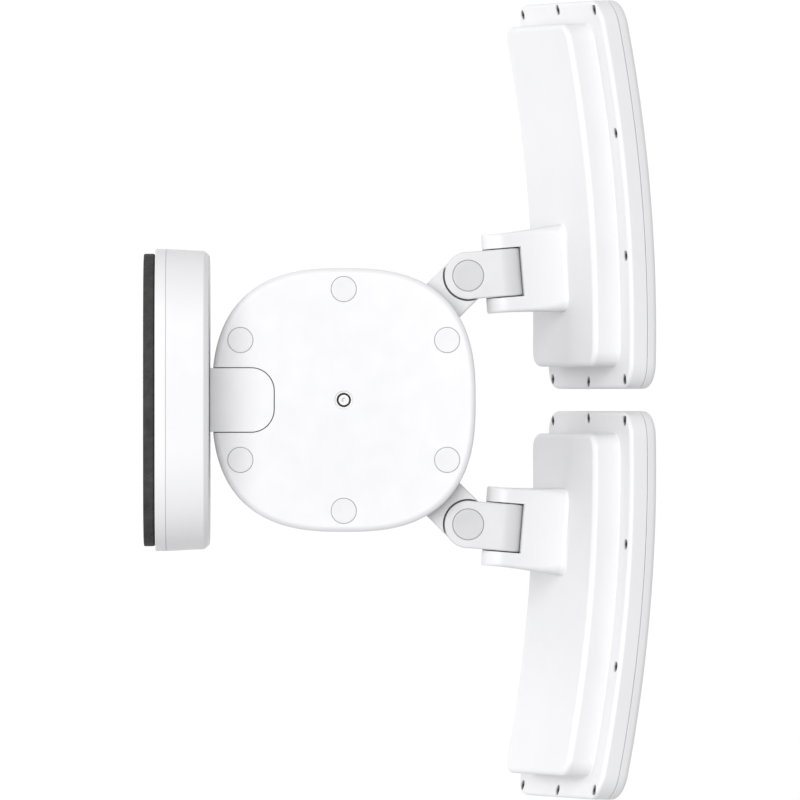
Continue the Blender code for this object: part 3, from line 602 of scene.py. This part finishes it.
# ---------------------------------------------------------------- light arms and knuckles

ARM_HALF, ARM_LOW, ARM_TOP = 0.0097, -0.0140, 0.0060
EYE_R = 0.0099
SEAT_R = 0.0105
HORN_END = 0.0046
LAP_Z = -0.004


def yaw_frame(word):
    """The yaw pin's frame: origin on the pin, -Y along the knuckle as it stands at rest."""
    pin = Vector(JOINTS["yaw_" + word]["pos_m"])
    axis = Vector(JOINTS["pitch_" + word]["axis"])
    splay = Vector((1, 0)).angle_signed(Vector((axis.x, axis.y)))
    return Matrix.Translation(pin) @ Matrix.Rotation(-splay, 4, "Z")


def arm_frame(side):
    """The light arm's frame: origin on the hub's axis, +X along the arm."""
    hub_y = JOINTS["camera_pan_joint"]["pos_m"][1]
    return Matrix.Translation((0, hub_y, 0)) @ Matrix.Rotation(radians(-90 + 45 * side), 4, "Z")


def reach(word):
    """How far the yaw pin stands from the hub's axis."""
    pin = Vector(JOINTS["yaw_" + word]["pos_m"])
    hub_y = JOINTS["camera_pan_joint"]["pos_m"][1]
    return sqrt(pin.x ** 2 + (pin.y - hub_y) ** 2)


def arm_socket(side):
    """A cutter for the light arm's seat in the hub."""
    outline = rounded_column(lambda inset: rounded_rectangle(0.015, ARM_HALF + GAP, 0.001, 4),
                             ARM_LOW - GAP, ARM_TOP + GAP)
    return moved(at(outline, x=0.055), arm_frame(side))


def long_outline(start, end, half):
    """From above: square at its start, a half circle round its end."""
    def outline(inset):
        points = [(start, half - inset), (start, -half + inset)]
        for step in range(41):
            angle = radians(-90 + 180 * step / 40)
            points.append((end + (half - inset) * cos(angle), (half - inset) * sin(angle)))
        return points
    return outline


def build_light_arms():
    for word, side in SIDES:
        to_frame = arm_frame(side)
        far = reach(word)
        bar = rounded_column(long_outline(0.050, far, ARM_HALF), ARM_LOW, ARM_TOP, 0.0012, 0.0008, 5)
        seat = turned(((SEAT_R, LAP_Z - GAP), (SEAT_R, 0.0058), (SEAT_R + 0.0002, 0.0061),
                       (SEAT_R + 0.0002, 0.020)), 96, (far, 0))
        horns = box_between((far - HORN_END, -0.011, LAP_Z - GAP), (far + 0.011, 0.011, 0.020))
        bore = turned(((0.0052, -0.030), (0.0052, -0.0125), (0.0033, -0.0121), (0.0033, 0.010)), 40,
                      (far, 0))
        piece("lamp_arm_" + word, moved(bar, to_frame), WHITE_PAINTED_SHADE, "wall_mount",
              ("light_arm_" + word,), cuts=[moved(bm, to_frame) for bm in (seat, horns, bore)])


PITCH_FORWARD, PITCH_Z = 0.0140, -0.0022
TONGUE_R, TONGUE_TOP, TONGUE_EDGE = 0.0082, 0.00596, 0.0007
CAP_R, CAP_FLOOR, CAP_TOP = 0.0064, 0.0015, 0.0060
PITCH_BORE_R, YAW_BORE_R = 0.0027, 0.0033


def build_tongue():
    """The part that reaches into the fork: a side profile, filleted towards both its sides."""
    pairs = fillet(-(EYE_R - 0.0001), TONGUE_EDGE, 5, turn_in=False)
    pairs += [(inset, -level) for inset, level in reversed(pairs)]
    loops = []
    for inset, across in pairs:
        radius, top = TONGUE_R - inset, TONGUE_TOP - inset
        loop = [(across, 0.0, top), (across, -PITCH_FORWARD * 0.5, top)]
        for step in range(49):
            angle = radians(90 + 215 * step / 48)
            loop.append((across, -PITCH_FORWARD + radius * cos(angle), PITCH_Z + radius * sin(angle)))
        last = loop[-1]
        loop.append((across, last[1] + 0.0006, LAP_Z + inset))
        loop.append((across, 0.0, LAP_Z + inset))
        loops.append(loop)
    return loft(loops)


def build_knuckles():
    for word, _ in SIDES:
        to_frame = yaw_frame(word)
        body = "knuckle_%s_body" % word
        eye = turned(((EYE_R - 0.0004, LAP_Z + 0.0001), (EYE_R, LAP_Z + 0.0005), (EYE_R, CAP_TOP - 0.0007),
                      (EYE_R - 0.0002, CAP_TOP - 0.00021), (EYE_R - 0.0007, CAP_TOP)), 97)
        seat = turned(((EYE_R + 0.0005, -0.020), (EYE_R + 0.0005, LAP_Z + 0.00012)), 96)
        well_r, mouth_r = CAP_R + 0.0001, CAP_R + 0.0003
        well = turned(((YAW_BORE_R, -0.020), (YAW_BORE_R, CAP_FLOOR), (well_r, CAP_FLOOR),
                       (well_r, 0.0058), (mouth_r, 0.00602), (mouth_r, 0.02)), 96)
        bore = at(moved(disc(PITCH_BORE_R, -0.02, 0.02, 40), SIDEWAYS), y=-PITCH_FORWARD, z=PITCH_Z)
        piece("swivel_" + word, moved(eye, to_frame), WHITE_KNUCKLE_PAINTED_SHADE, body, ("knuckle_" + word,),
              joins=(moved(build_tongue(), to_frame),),
              cuts=[moved(bm, to_frame) for bm in (seat, well, bore)])
        cap = turned(((CAP_R - 0.0003, 0.0036), (CAP_R, 0.0039), (CAP_R, 0.0057), (CAP_R - 0.0001, 0.00588),
                      (CAP_R - 0.0003, CAP_TOP), (CAP_R - 0.0016, 0.00598), (0.0, 0.0059)), 96)
        piece("swivel_cap_" + word, moved(cap, to_frame), GREY_CAP_PAINTED_SHADE, body, ("pin_cap_" + word,))
        low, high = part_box("yaw_pin_" + word)
        shank, head, under_head = 0.0030, 0.0056, 0.0018
        bolt = turned(((shank - 0.0004, low.z), (shank, low.z + 0.0004), (shank, under_head),
                       (head, under_head), (head, high.z - 0.0004), (head - 0.0004, high.z)), 40)
        piece("swivel_bolt_" + word, moved(bolt, to_frame), STEEL, body, ("yaw_pin_" + word,))


# ---------------------------------------------------------------- lamp heads

TILT = radians(20.0)
HEAD_MIDDLE = 0.0276            # from the pin to the lamp's middle, along the lamp
HEAD_HALF, HEAD_HALF_HIGH, HEAD_CORNER = 0.0810, 0.0490, 0.0105
BEND_R = 0.626
CASE_REAR, FLANGE_REAR, CASE_FRONT = 0.0272, 0.0389, 0.0462
BEZEL_REAR, BEZEL_FRONT = 0.0465, 0.0508
BOX_HALF, BOX_HALF_HIGH, BOX_CORNER = 0.0716, 0.0370, 0.0070
WINDOW_HALF, WINDOW_HALF_HIGH, WINDOW_CORNER = 0.0700, 0.0385, 0.0080
TINE_IN, TINE_OUT, TINE_R = 0.0103, 0.0164, 0.0074
SLOT_R, SLOT_END, FORK_ROOT = 0.0088, 0.0066, 0.0180
SLANT_INNER, SLANT_OUTER, SLANT_AT = tan(radians(4.7)), tan(radians(3.3)), 0.0600
BOX = (BOX_HALF, BOX_HALF_HIGH, BOX_CORNER)
FLANGE = (HEAD_HALF, HEAD_HALF_HIGH, HEAD_CORNER)
WINDOW = (WINDOW_HALF, WINDOW_HALF_HIGH, WINDOW_CORNER)
HEAD_SCREWS = ((0.0755, 0.0425), (0.0755, -0.0425), (-0.0755, 0.0425), (-0.0755, -0.0425),
               (0.0765, 0.0), (-0.0765, 0.0),
               (0.0250, 0.0450), (-0.0250, 0.0450), (0.0250, -0.0450), (-0.0250, -0.0450))
CORNER_STEPS = 8
LENGTH_STEPS = 28


def pitch_frame(word, side):
    """The lamp's frame at rest: X along it (outwards), -Y forward, Z up, on the pitch pin.
    The left lamp's frame is a mirror image."""
    pin = Vector(JOINTS["pitch_" + word]["pos_m"])
    rest = yaw_frame(word).to_3x3().to_4x4() @ Matrix.Rotation(TILT, 4, "X")
    return Matrix.Translation(pin) @ rest @ Matrix.Diagonal((side, 1, 1, 1))


def lamp_columns(half, half_high, corner):
    """Places along the lamp and the outline's height there, through both round ends."""
    end = fillet(half_high, corner, CORNER_STEPS)
    inner = half - corner
    columns = [(-half + inset, up) for inset, up in end]
    columns += [(-inner + 2 * inner * step / LENGTH_STEPS, half_high) for step in range(1, LENGTH_STEPS)]
    return columns + [(half - inset, up) for inset, up in reversed(end)]


def bent(along, depth, up):
    """A point of the straight lamp, on its curve."""
    centre = CASE_REAR - BEND_R
    radius = BEND_R + depth - CASE_REAR
    turn = along / radius
    return slanted(HEAD_MIDDLE + radius * sin(turn), -(centre + radius * cos(turn)), up)


def slanted(x, y, z):
    """A point leant along the lamp, the more the further back and down."""
    forward = z * sin(TILT) - y * cos(TILT)
    share = (x - HEAD_MIDDLE + HEAD_HALF) / (2 * HEAD_HALF)
    return x + (SLANT_INNER + (SLANT_OUTER - SLANT_INNER) * share) * (SLANT_AT - forward), y, z


def lamp_loft(sections, ring=False):
    """Skin (half, half_high, corner, depth) sections. Both end faces follow the curve, and a
    ring has none: its last section is joined to its first."""
    bm = bmesh.new()
    rows = []
    for half, half_high, corner, depth in sections:
        columns = lamp_columns(half, half_high, corner)
        top = [bm.verts.new(bent(along, depth, up)) for along, up in columns]
        foot = [bm.verts.new(bent(along, depth, -up)) for along, up in columns]
        rows.append((top, foot))
    loops = [top + foot[::-1] for top, foot in rows]
    count = len(loops[0])
    pairs = list(zip(loops, loops[1:])) + ([(loops[-1], loops[0])] if ring else [])
    for row, following in pairs:
        for index in range(count):
            after = (index + 1) % count
            bm.faces.new((row[index], row[after], following[after], following[index]))
    for top, foot in () if ring else (rows[0], rows[-1]):
        for index in range(len(top) - 1):
            bm.faces.new((top[index], top[index + 1], foot[index + 1], foot[index]))
    bmesh.ops.recalc_face_normals(bm, faces=bm.faces)
    return bm


def inset_section(half, half_high, corner, inset, depth):
    return (half - inset, half_high - inset, max(corner - inset, 0.0006), depth)


def along_curve(along):
    """The frame of a place on the lamp's curve: its Z axis looks to the front."""
    centre = BEND_R - CASE_REAR
    turn = Matrix.Rotation(along / BEND_R, 4, "Z")
    return (Matrix.Translation((HEAD_MIDDLE, centre, 0)) @ turn
            @ Matrix.Translation((0, -centre, 0)) @ OUTWARDS)


def case_solid():
    """The rear case without its fork: raised box, flange and the cavity behind the front."""
    wall, box_edge, foot, flange_edge = 0.0025, 0.0024, 0.0005, 0.0018
    sections = [inset_section(*BOX, inset, CASE_REAR - level)
                for inset, level in reversed(fillet(0, box_edge, 6))]
    sections += [inset_section(*BOX, -inset, FLANGE_REAR + level) for inset, level in fillet(0, foot, 4)]
    sections += [inset_section(*FLANGE, inset, FLANGE_REAR - level)
                 for inset, level in reversed(fillet(0, flange_edge, 5))]
    # a low land round the front keeps the seam to the bezel thin
    sections += [inset_section(*FLANGE, 0.0, CASE_FRONT - 0.0001),
                 inset_section(*FLANGE, 0.0002, CASE_FRONT + 0.0001),
                 inset_section(*FLANGE, 0.0012, CASE_FRONT + 0.0001),
                 inset_section(*FLANGE, 0.0014, CASE_FRONT),
                 inset_section(*BOX, wall, CASE_FRONT), inset_section(*BOX, wall, CASE_REAR + wall)]
    return lamp_loft(sections)


def fork_block():
    """The fork before its slot is cut: round about the pitch pin, then blended into the case."""
    blend, side_blend, corner, more_corner = 0.0028, 0.0008, 0.0014, 0.0036
    loops = []
    for step in range(13):
        angle = radians(4 + 86 * step / 12)
        loops.append(fork_loop(-TINE_R * cos(angle), TINE_OUT, TINE_R * sin(angle), corner))
    root = CASE_REAR - blend
    for step in range(1, 9):
        share = step / 9
        loops.append(fork_loop(root * share, TINE_OUT + (FORK_ROOT - TINE_OUT) * share ** 1.5, TINE_R,
                               corner + more_corner * share ** 3))
    for step in range(13):
        forward = blend * sin(radians(80 * step / 12))
        rise = blend - sqrt(blend * blend - forward * forward)
        short = max(0.0, forward - blend + side_blend)
        spread = side_blend - sqrt(max(0.0, side_blend * side_blend - short * short))
        last = (FORK_ROOT + spread, TINE_R + rise, corner + more_corner + 0.4 * rise)
        loops.append(fork_loop(root + forward, *last, step / 12))
    loops.append(fork_loop(CASE_REAR + 0.0012, *last, 1.0))
    return loft(loops)


def fork_loop(forward, half, half_high, corner, follow=0.0):
    """One section of the fork. Near the case it takes up the curve of the case's back."""
    loop = []
    for x, z in rounded_rectangle(half, half_high, min(corner, 0.95 * half_high), 6):
        away = HEAD_MIDDLE - x
        loop.append((x, -forward + follow * away * away / (2 * BEND_R), z))
    return loop


def build_case(word, to_frame):
    fork = new_object("fork", fork_block())
    boolean(fork, "DIFFERENCE", box_between((-TINE_IN, -SLOT_END, -0.02), (TINE_IN, 0.02, 0.02)))
    boolean(fork, "DIFFERENCE", moved(disc(SLOT_R, -TINE_IN, TINE_IN, 96), SIDEWAYS))
    bore = moved(disc(PITCH_BORE_R, -0.03, 0.03, 40), SIDEWAYS)
    hole_r = 0.0022
    holes = [at_frame(turned(((hole_r, FLANGE_REAR - 0.004), (hole_r, FLANGE_REAR + 0.0016)), 28), *place)
             for place in HEAD_SCREWS]
    piece("lamp_case_" + word, moved(case_solid(), to_frame), WHITE, "lamp_" + word,
          ("rear_case_" + word,), joins=(moved(taken(fork), to_frame),),
          cuts=(moved(bore, to_frame), moved(combined(*holes), to_frame)))


def build_washers(word, to_frame):
    """Friction washers on the pitch pin, in the gaps between the tongue and the fork."""
    radius, thickness = 0.0073, 0.00034
    for place, start in (("inner", -0.01022), ("outer", 0.00988)):
        washer = moved(disc(radius, start, start + thickness, 72, 0.00004), SIDEWAYS)
        piece("friction_washer_%s_%s" % (word, place), moved(washer, to_frame), BLACK,
              "lamp_" + word, slotted=False)


def at_frame(bm, along, up):
    """A shape made along the depth axis, moved to its place on the lamp's curve."""
    moved(at(bm, y=up), along_curve(along))
    for vert in bm.verts:
        vert.co = slanted(*vert.co)
    return bm


def build_head_screws(word, to_frame):
    """Ten socket screws, sunk in the case's rim."""
    top = FLANGE_REAR + 0.0003
    profile = ((0.0, top), (0.0017, top), (0.0019, top + 0.0002), (0.0019, top + 0.0011),
               (0.0010, top + 0.0012))
    for number, place in enumerate(HEAD_SCREWS, 1):
        socket = turned(((0.0009, top - 0.001), (0.0009, top + 0.0008)), 6)
        piece("rim_screw_%s_%02d" % (word, number), moved(at_frame(turned(profile, 28), *place), to_frame),
              DARK_STEEL, "lamp_" + word, cuts=(moved(at_frame(socket, *place), to_frame),))


def build_lamp_front(word, to_frame):
    """The bezel, a ring with a groove behind its window, and the diffuser set in the groove."""
    lip, rebate, edge, window_edge = 0.0018, 0.0020, 0.0022, 0.0006
    sections = [inset_section(*WINDOW, 0.0, BEZEL_REAR + lip),
                inset_section(*WINDOW, -rebate, BEZEL_REAR + lip),
                inset_section(*WINDOW, -rebate, BEZEL_REAR),
                inset_section(*FLANGE, 0.0002, BEZEL_REAR),
                inset_section(*FLANGE, 0.0, BEZEL_REAR + 0.0002)]
    sections += [inset_section(*FLANGE, inset, BEZEL_FRONT + level) for inset, level in fillet(0, edge, 6)]
    sections += [inset_section(*WINDOW, -inset, BEZEL_FRONT - level)
                 for inset, level in fillet(0, window_edge, 4, turn_in=False)]
    piece("lamp_bezel_" + word, moved(lamp_loft(sections, ring=True), to_frame), WHITE_BEZEL_PAINTED_SHADE,
          "lamp_" + word, ("front_bezel_" + word,))
    lens = [size - GAP for size in WINDOW]
    rim = [size + 0.0016 for size in WINDOW]
    foot, step = BEZEL_REAR + 0.0001, BEZEL_REAR + 0.0014
    sections = [inset_section(*lens, 0.002, step), inset_section(*lens, 0.002, foot),
                inset_section(*rim, 0.0, foot), inset_section(*rim, 0.0, step),
                inset_section(*lens, 0.0, step)]
    sections += [inset_section(*lens, inset, BEZEL_FRONT - window_edge + level)
                 for inset, level in fillet(0, 0.0010, 5)]
    piece("lamp_lens_" + word, moved(lamp_loft(sections), to_frame), DIFFUSER, "lamp_" + word,
          ("diffuser_" + word,))


def build_leds(word, to_frame):
    """The LED packages on the board, four rows of small square lights behind the diffuser."""
    half, foot, top = 0.0014, CASE_FRONT - 0.0024, 0.0007
    shapes = []
    for row in range(4):
        for column in range(9):
            bm = box_between((-half, -half, foot + 0.00002), (half, half, foot + top))
            bmesh.ops.bevel(bm, geom=bm.edges[:], offset=0.0002, segments=1, affect="EDGES")
            shapes.append(at_frame(bm, 0.0135 * (column - 4), 0.015 * (row - 1.5)))
    piece("led_array_" + word, moved(combined(*shapes), to_frame), PHOSPHOR, "lamp_" + word)


# ---------------------------------------------------------------- camera under the hub

def build_camera_unit():
    pan = Vector(JOINTS["camera_pan_joint"]["pos_m"])
    tilt_at = Vector(JOINTS["camera_tilt_joint"]["pos_m"])
    to_pan = Matrix.Translation((pan.x, pan.y, 0))
    to_tilt = Matrix.Translation(tilt_at)
    build_yoke(to_pan, tilt_at.z)
    build_shells(to_tilt)
    build_optics(to_tilt)


YOKE_R, YOKE_LOW, YOKE_HIGH = 0.0340, -0.0245, -0.0205
YOKE_ARM_R, YOKE_INNER, YOKE_OUTER = 0.0170, 0.0275, 0.0355
TILT_BORE_R = 0.0043


def yoke_arm(low, high, axis_z, edge):
    """One arm of the yoke, from the side: straight down, then round about the tilt axis."""
    pairs = fillet(low, edge, 4, turn_in=False)
    pairs += [(inset, high + low - across) for inset, across in reversed(pairs)]
    loops = []
    for inset, across in pairs:
        radius = YOKE_ARM_R - inset
        loop = [(across, radius, YOKE_LOW + 0.0010), (across, -radius, YOKE_LOW + 0.0010)]
        for step in range(49):
            angle = radians(180 + 180 * step / 48)
            loop.append((across, radius * cos(angle), axis_z + radius * sin(angle)))
        loops.append(loop)
    return loft(loops)


def build_yoke(to_pan, axis_z):
    plate = turned(((YOKE_R - 0.0016, YOKE_LOW), (YOKE_R - 0.0008, YOKE_LOW + 0.0002),
                    (YOKE_R - 0.0002, YOKE_LOW + 0.0008), (YOKE_R, YOKE_LOW + 0.0016),
                    (YOKE_R, YOKE_HIGH - 0.0004), (YOKE_R - 0.0004, YOKE_HIGH)), 96)
    arms = [yoke_arm(*ends, axis_z, 0.0012)
            for ends in ((YOKE_INNER, YOKE_OUTER), (-YOKE_OUTER, -YOKE_INNER))]
    cuts = [turned(((0.0053, -0.030), (0.0053, 0.0)), 40)]
    covers = []
    for word, side in SIDES:
        to_arm = Matrix.Translation((0, 0, axis_z)) @ Matrix.Diagonal((side, 1, 1, 1)) @ SIDEWAYS
        seat = turned(((0.0128, 0.0295), (0.0128, YOKE_OUTER - 0.0002), (0.0131, YOKE_OUTER + 0.0001),
                       (0.0131, 0.045)), 72)
        hole = turned(((TILT_BORE_R, 0.020), (TILT_BORE_R, 0.050)), 32)
        cuts += [moved(seat, to_arm), moved(hole, to_arm)]
        cover = turned(((0.0127, 0.0343), (0.0127, YOKE_OUTER - 0.0003), (0.0124, YOKE_OUTER),
                        (0.0110, YOKE_OUTER), (0.0108, YOKE_OUTER - 0.0002), (0.0106, YOKE_OUTER - 0.0002),
                        (0.0104, YOKE_OUTER), (0.0, YOKE_OUTER)), 72)
        covers.append((word, moved(cover, to_arm)))
    piece("yoke_frame", moved(plate, to_pan), WHITE_PAINTED_SHADE, "camera_pan", ("pan_yoke",),
          joins=[moved(bm, to_pan) for bm in arms], cuts=[moved(bm, to_pan) for bm in cuts])
    for word, cover in covers:
        piece("axle_cover_" + word, moved(cover, to_pan), WHITE_PLUG, "camera_pan",
              ("yoke_cover_" + word,))


BARREL_R, BARREL_HALF, BARREL_FLAT, BARREL_SEAM = 0.0250, 0.0268, 0.0180, 0.0020
BARREL_EDGE, BARREL_WALL = 0.0030, 0.0022


def barrel_solid(inset, edge):
    """The camera's round body with its ends rounded."""
    profile = [(BARREL_R - inset - shrink, across)
               for shrink, across in fillet(inset - BARREL_HALF, edge, 6, turn_in=False)]
    profile += [(radius, -across) for radius, across in reversed(profile)]
    return moved(turned(profile, 120), SIDEWAYS)


def slab(front, rear):
    """A cutter across the whole camera, between two distances forward of the tilt axis."""
    return box_between((-0.04, -front, -0.04), (0.04, -rear, 0.04))


def build_shells(to_tilt):
    front = new_object("lens_housing", barrel_solid(0.0, BARREL_EDGE))
    boolean(front, "DIFFERENCE", slab(0.05, BARREL_FLAT))
    boolean(front, "DIFFERENCE", slab(-BARREL_SEAM, -0.05))
    soften_front(front)
    inner = new_object("inner", barrel_solid(BARREL_WALL, BARREL_WALL))
    boolean(inner, "DIFFERENCE", slab(0.05, BARREL_FLAT - BARREL_WALL))
    core = taken(inner)
    rear_core = core.copy()
    boolean(front, "DIFFERENCE", core)
    window = rounded_column(lambda inset: rounded_rectangle(0.0205, 0.0145, 0.0060), 0.010, 0.030)
    boolean(front, "DIFFERENCE", moved(window, OUTWARDS))
    rear = new_object("camera_back", barrel_solid(0.0, BARREL_EDGE))
    boolean(rear, "DIFFERENCE", slab(0.05, -BARREL_SEAM - GAP))
    boolean(rear, "DIFFERENCE", rear_core)
    for side in (-1, 1):
        for shell in (front, rear):
            hole = moved(turned(((TILT_BORE_R, 0.020), (TILT_BORE_R, 0.030)), 32), SIDEWAYS)
            boolean(shell, "DIFFERENCE", moved(hole, Matrix.Diagonal((side, 1, 1, 1))))
    vents = []
    for row in range(-3, 4):
        slot = rounded_column(lambda inset: rounded_rectangle(0.0085, 0.0006, 0.0005, 4), 0.018, 0.030)
        vents.append(at(moved(slot, OUTWARDS @ Matrix.Rotation(pi, 4, "Y")), z=0.0030 * row))
    boolean(rear, "DIFFERENCE", combined(*vents))
    for obj, node in ((front, "camera_front_shell"), (rear, "camera_rear_shell")):
        obj.data.transform(to_tilt)
        finish_piece(obj, WHITE, "camera_tilt", (node,))


def soften_front(obj):
    """Round the edge where the flat front meets the barrel."""
    bm = bmesh.new()
    bm.from_mesh(obj.data)
    rim = [edge for edge in bm.edges
           if all(abs(vert.co.y + BARREL_FLAT) < 1e-5 for vert in edge.verts)
           and any(abs(face.normal.y) < 0.98 for face in edge.link_faces)]
    bmesh.ops.bevel(bm, geom=rim, offset=0.0007, segments=3, profile=0.5, affect="EDGES")
    bm.to_mesh(obj.data)
    bm.free()


def build_optics(to_tilt):
    """The dark window with its two lenses and four small sensor dots."""
    flat = BARREL_FLAT
    glass = rounded_column(lambda inset: rounded_rectangle(0.0202 - inset, 0.0142 - inset, 0.0057 - inset),
                           flat - 0.0018, flat - 0.0002, 0.0, 0.0003, 3)
    cuts = []
    for word, look in (("wide", LENS_SHEEN_BLUE), ("tele", LENS_SHEEN_VIOLET)):
        low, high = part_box(word + "_lens")
        x, radius = (low.x + high.x) / 2, (high.x - low.x) / 2
        hole = turned(((radius + 0.0002, 0.01), (radius + 0.0002, 0.03)), 72)
        cuts.append(at(moved(hole, OUTWARDS), x))
        build_lens(word, look, x, radius, to_tilt)
    eyes = []
    dots = ((-0.0003, 0.0105, 0.0011), (-0.0175, 0.0110, 0.0009), (0.0175, 0.0110, 0.0009),
            (0.0, -0.0112, 0.0008))
    for x, z, radius in dots:
        dent = turned(((radius, flat - 0.0007), (radius + 0.0001, flat + 0.001)), 24)
        cuts.append(at(moved(dent, OUTWARDS), x, 0, z))
        rim = radius - 0.00005
        eye = turned(((rim, flat - 0.00065), (rim, flat - 0.0005), (0.6 * radius, flat - 0.00032),
                      (0.0, flat - 0.00028)), 24)
        eyes.append(at(moved(eye, OUTWARDS), x, 0, z))
    piece("optics_window", moved(moved(glass, OUTWARDS), to_tilt), GLASS, "camera_tilt",
          ("front_glass",), cuts=[moved(bm, to_tilt) for bm in cuts])
    piece("sensor_dots", moved(combined(*eyes), to_tilt), LENS_SHEEN_VIOLET, "camera_tilt")


def build_lens(word, look, x, radius, to_tilt):
    """A lens barrel with a stepped, ridged throat and a domed front element."""
    front, ridges = BARREL_FLAT, 4
    throat, waist = 0.74 * radius, 0.46 * radius
    profile = [(radius - 0.0002, 0.0060), (radius, 0.0062), (radius, front - 0.0006),
               (radius - 0.0002, front - 0.0002), (radius - 0.0006, front),
               (throat + 0.0004, front), (throat, front - 0.0003)]
    for step in range(ridges):
        inner = throat - (0.30 * radius) * step / ridges
        level = front - 0.0003 - 0.0012 * (step + 1) / ridges
        profile += [(inner, level), (inner - 0.06 * radius, level)]
    profile += [(waist, front - 0.0016), (waist, front - 0.0028), (0.0, front - 0.0028)]
    body = at(moved(turned(profile, 72), OUTWARDS), x)
    piece("lens_barrel_" + word, moved(body, to_tilt), BLACK, "camera_tilt", (word + "_lens",))
    base, rise, size = front - 0.0020, 0.0011, 0.455 * radius
    dome = [(size, base - 0.0006)]
    for step in range(9):
        angle = pi / 2 * step / 8
        dome.append((size * cos(angle), base + rise * sin(angle)))
    piece("lens_element_" + word, moved(at(moved(turned(dome, 72), OUTWARDS), x), to_tilt), look,
          "camera_tilt", angle=60)


# ---------------------------------------------------------------- studio

FLOOR_Z = -1.3
FLOOR_HALF, FLOOR_CORNER, FLOOR_THICK = 9.0, 3.0, 0.02


def build_studio():
    floor = loft([[(x, y, level) for x, y in rounded_rectangle(FLOOR_HALF, FLOOR_HALF, FLOOR_CORNER)]
                  for level in (FLOOR_Z - FLOOR_THICK, FLOOR_Z)])
    stage = new_object("studio_floor", floor)
    stage.data.materials.append(moulded("studio_paper", (0.84, 0.84, 0.84), (0.86, 0.86, 0.86), (0.85, 0.95),
                                        400.0, 0.00001))
    world = bpy.data.worlds.new("studio_world")
    bpy.context.scene.world = world
    world.use_nodes = True
    give(world.node_tree.nodes["Background"], {"Color": (1, 1, 1, 1), "Strength": 0.42})
    soft_sun("top_light", (0.16, 0.15, 0.98), 40.0, 2.40)
    soft_sun("side_light", (0.08, 0.98, 0.18), 44.0, 0.95)
    add_camera()


def soft_sun(name, towards, spread, strength):
    """A broad light from far away, so that it's as strong on the floor as on the object."""
    data = bpy.data.lights.new(name, "SUN")
    data.angle = radians(spread)
    data.energy = strength
    light = bpy.data.objects.new(name, data)
    light.rotation_euler = Vector(towards).to_track_quat("Z", "Y").to_euler()
    bpy.context.scene.collection.objects.link(light)


def add_camera():
    """Looks straight down on the object, with the wall on the left of the picture."""
    distance, width, level, middle_y = 10.0, 0.3311, 0.02, -0.10596
    data = bpy.data.cameras.new("main_camera")
    data.sensor_width = 36.0
    data.lens = data.sensor_width * (distance - level) / width
    data.clip_end = 30.0
    camera = bpy.data.objects.new("main_camera", data)
    camera.location = (0, middle_y, distance)
    camera.rotation_euler = (0, 0, radians(-90))
    bpy.context.scene.collection.objects.link(camera)
    bpy.context.scene.camera = camera
    bpy.context.scene.view_settings.view_transform = "Standard"


relook_inner_parts()
build_plate()
build_plate_screws()
build_support_arm()
build_hub()
build_light_arms()
build_knuckles()
for lamp_word, lamp_side in SIDES:
    lamp_frame = pitch_frame(lamp_word, lamp_side)
    build_case(lamp_word, lamp_frame)
    build_head_screws(lamp_word, lamp_frame)
    build_washers(lamp_word, lamp_frame)
    build_lamp_front(lamp_word, lamp_frame)
    build_leds(lamp_word, lamp_frame)
build_camera_unit()
build_studio()
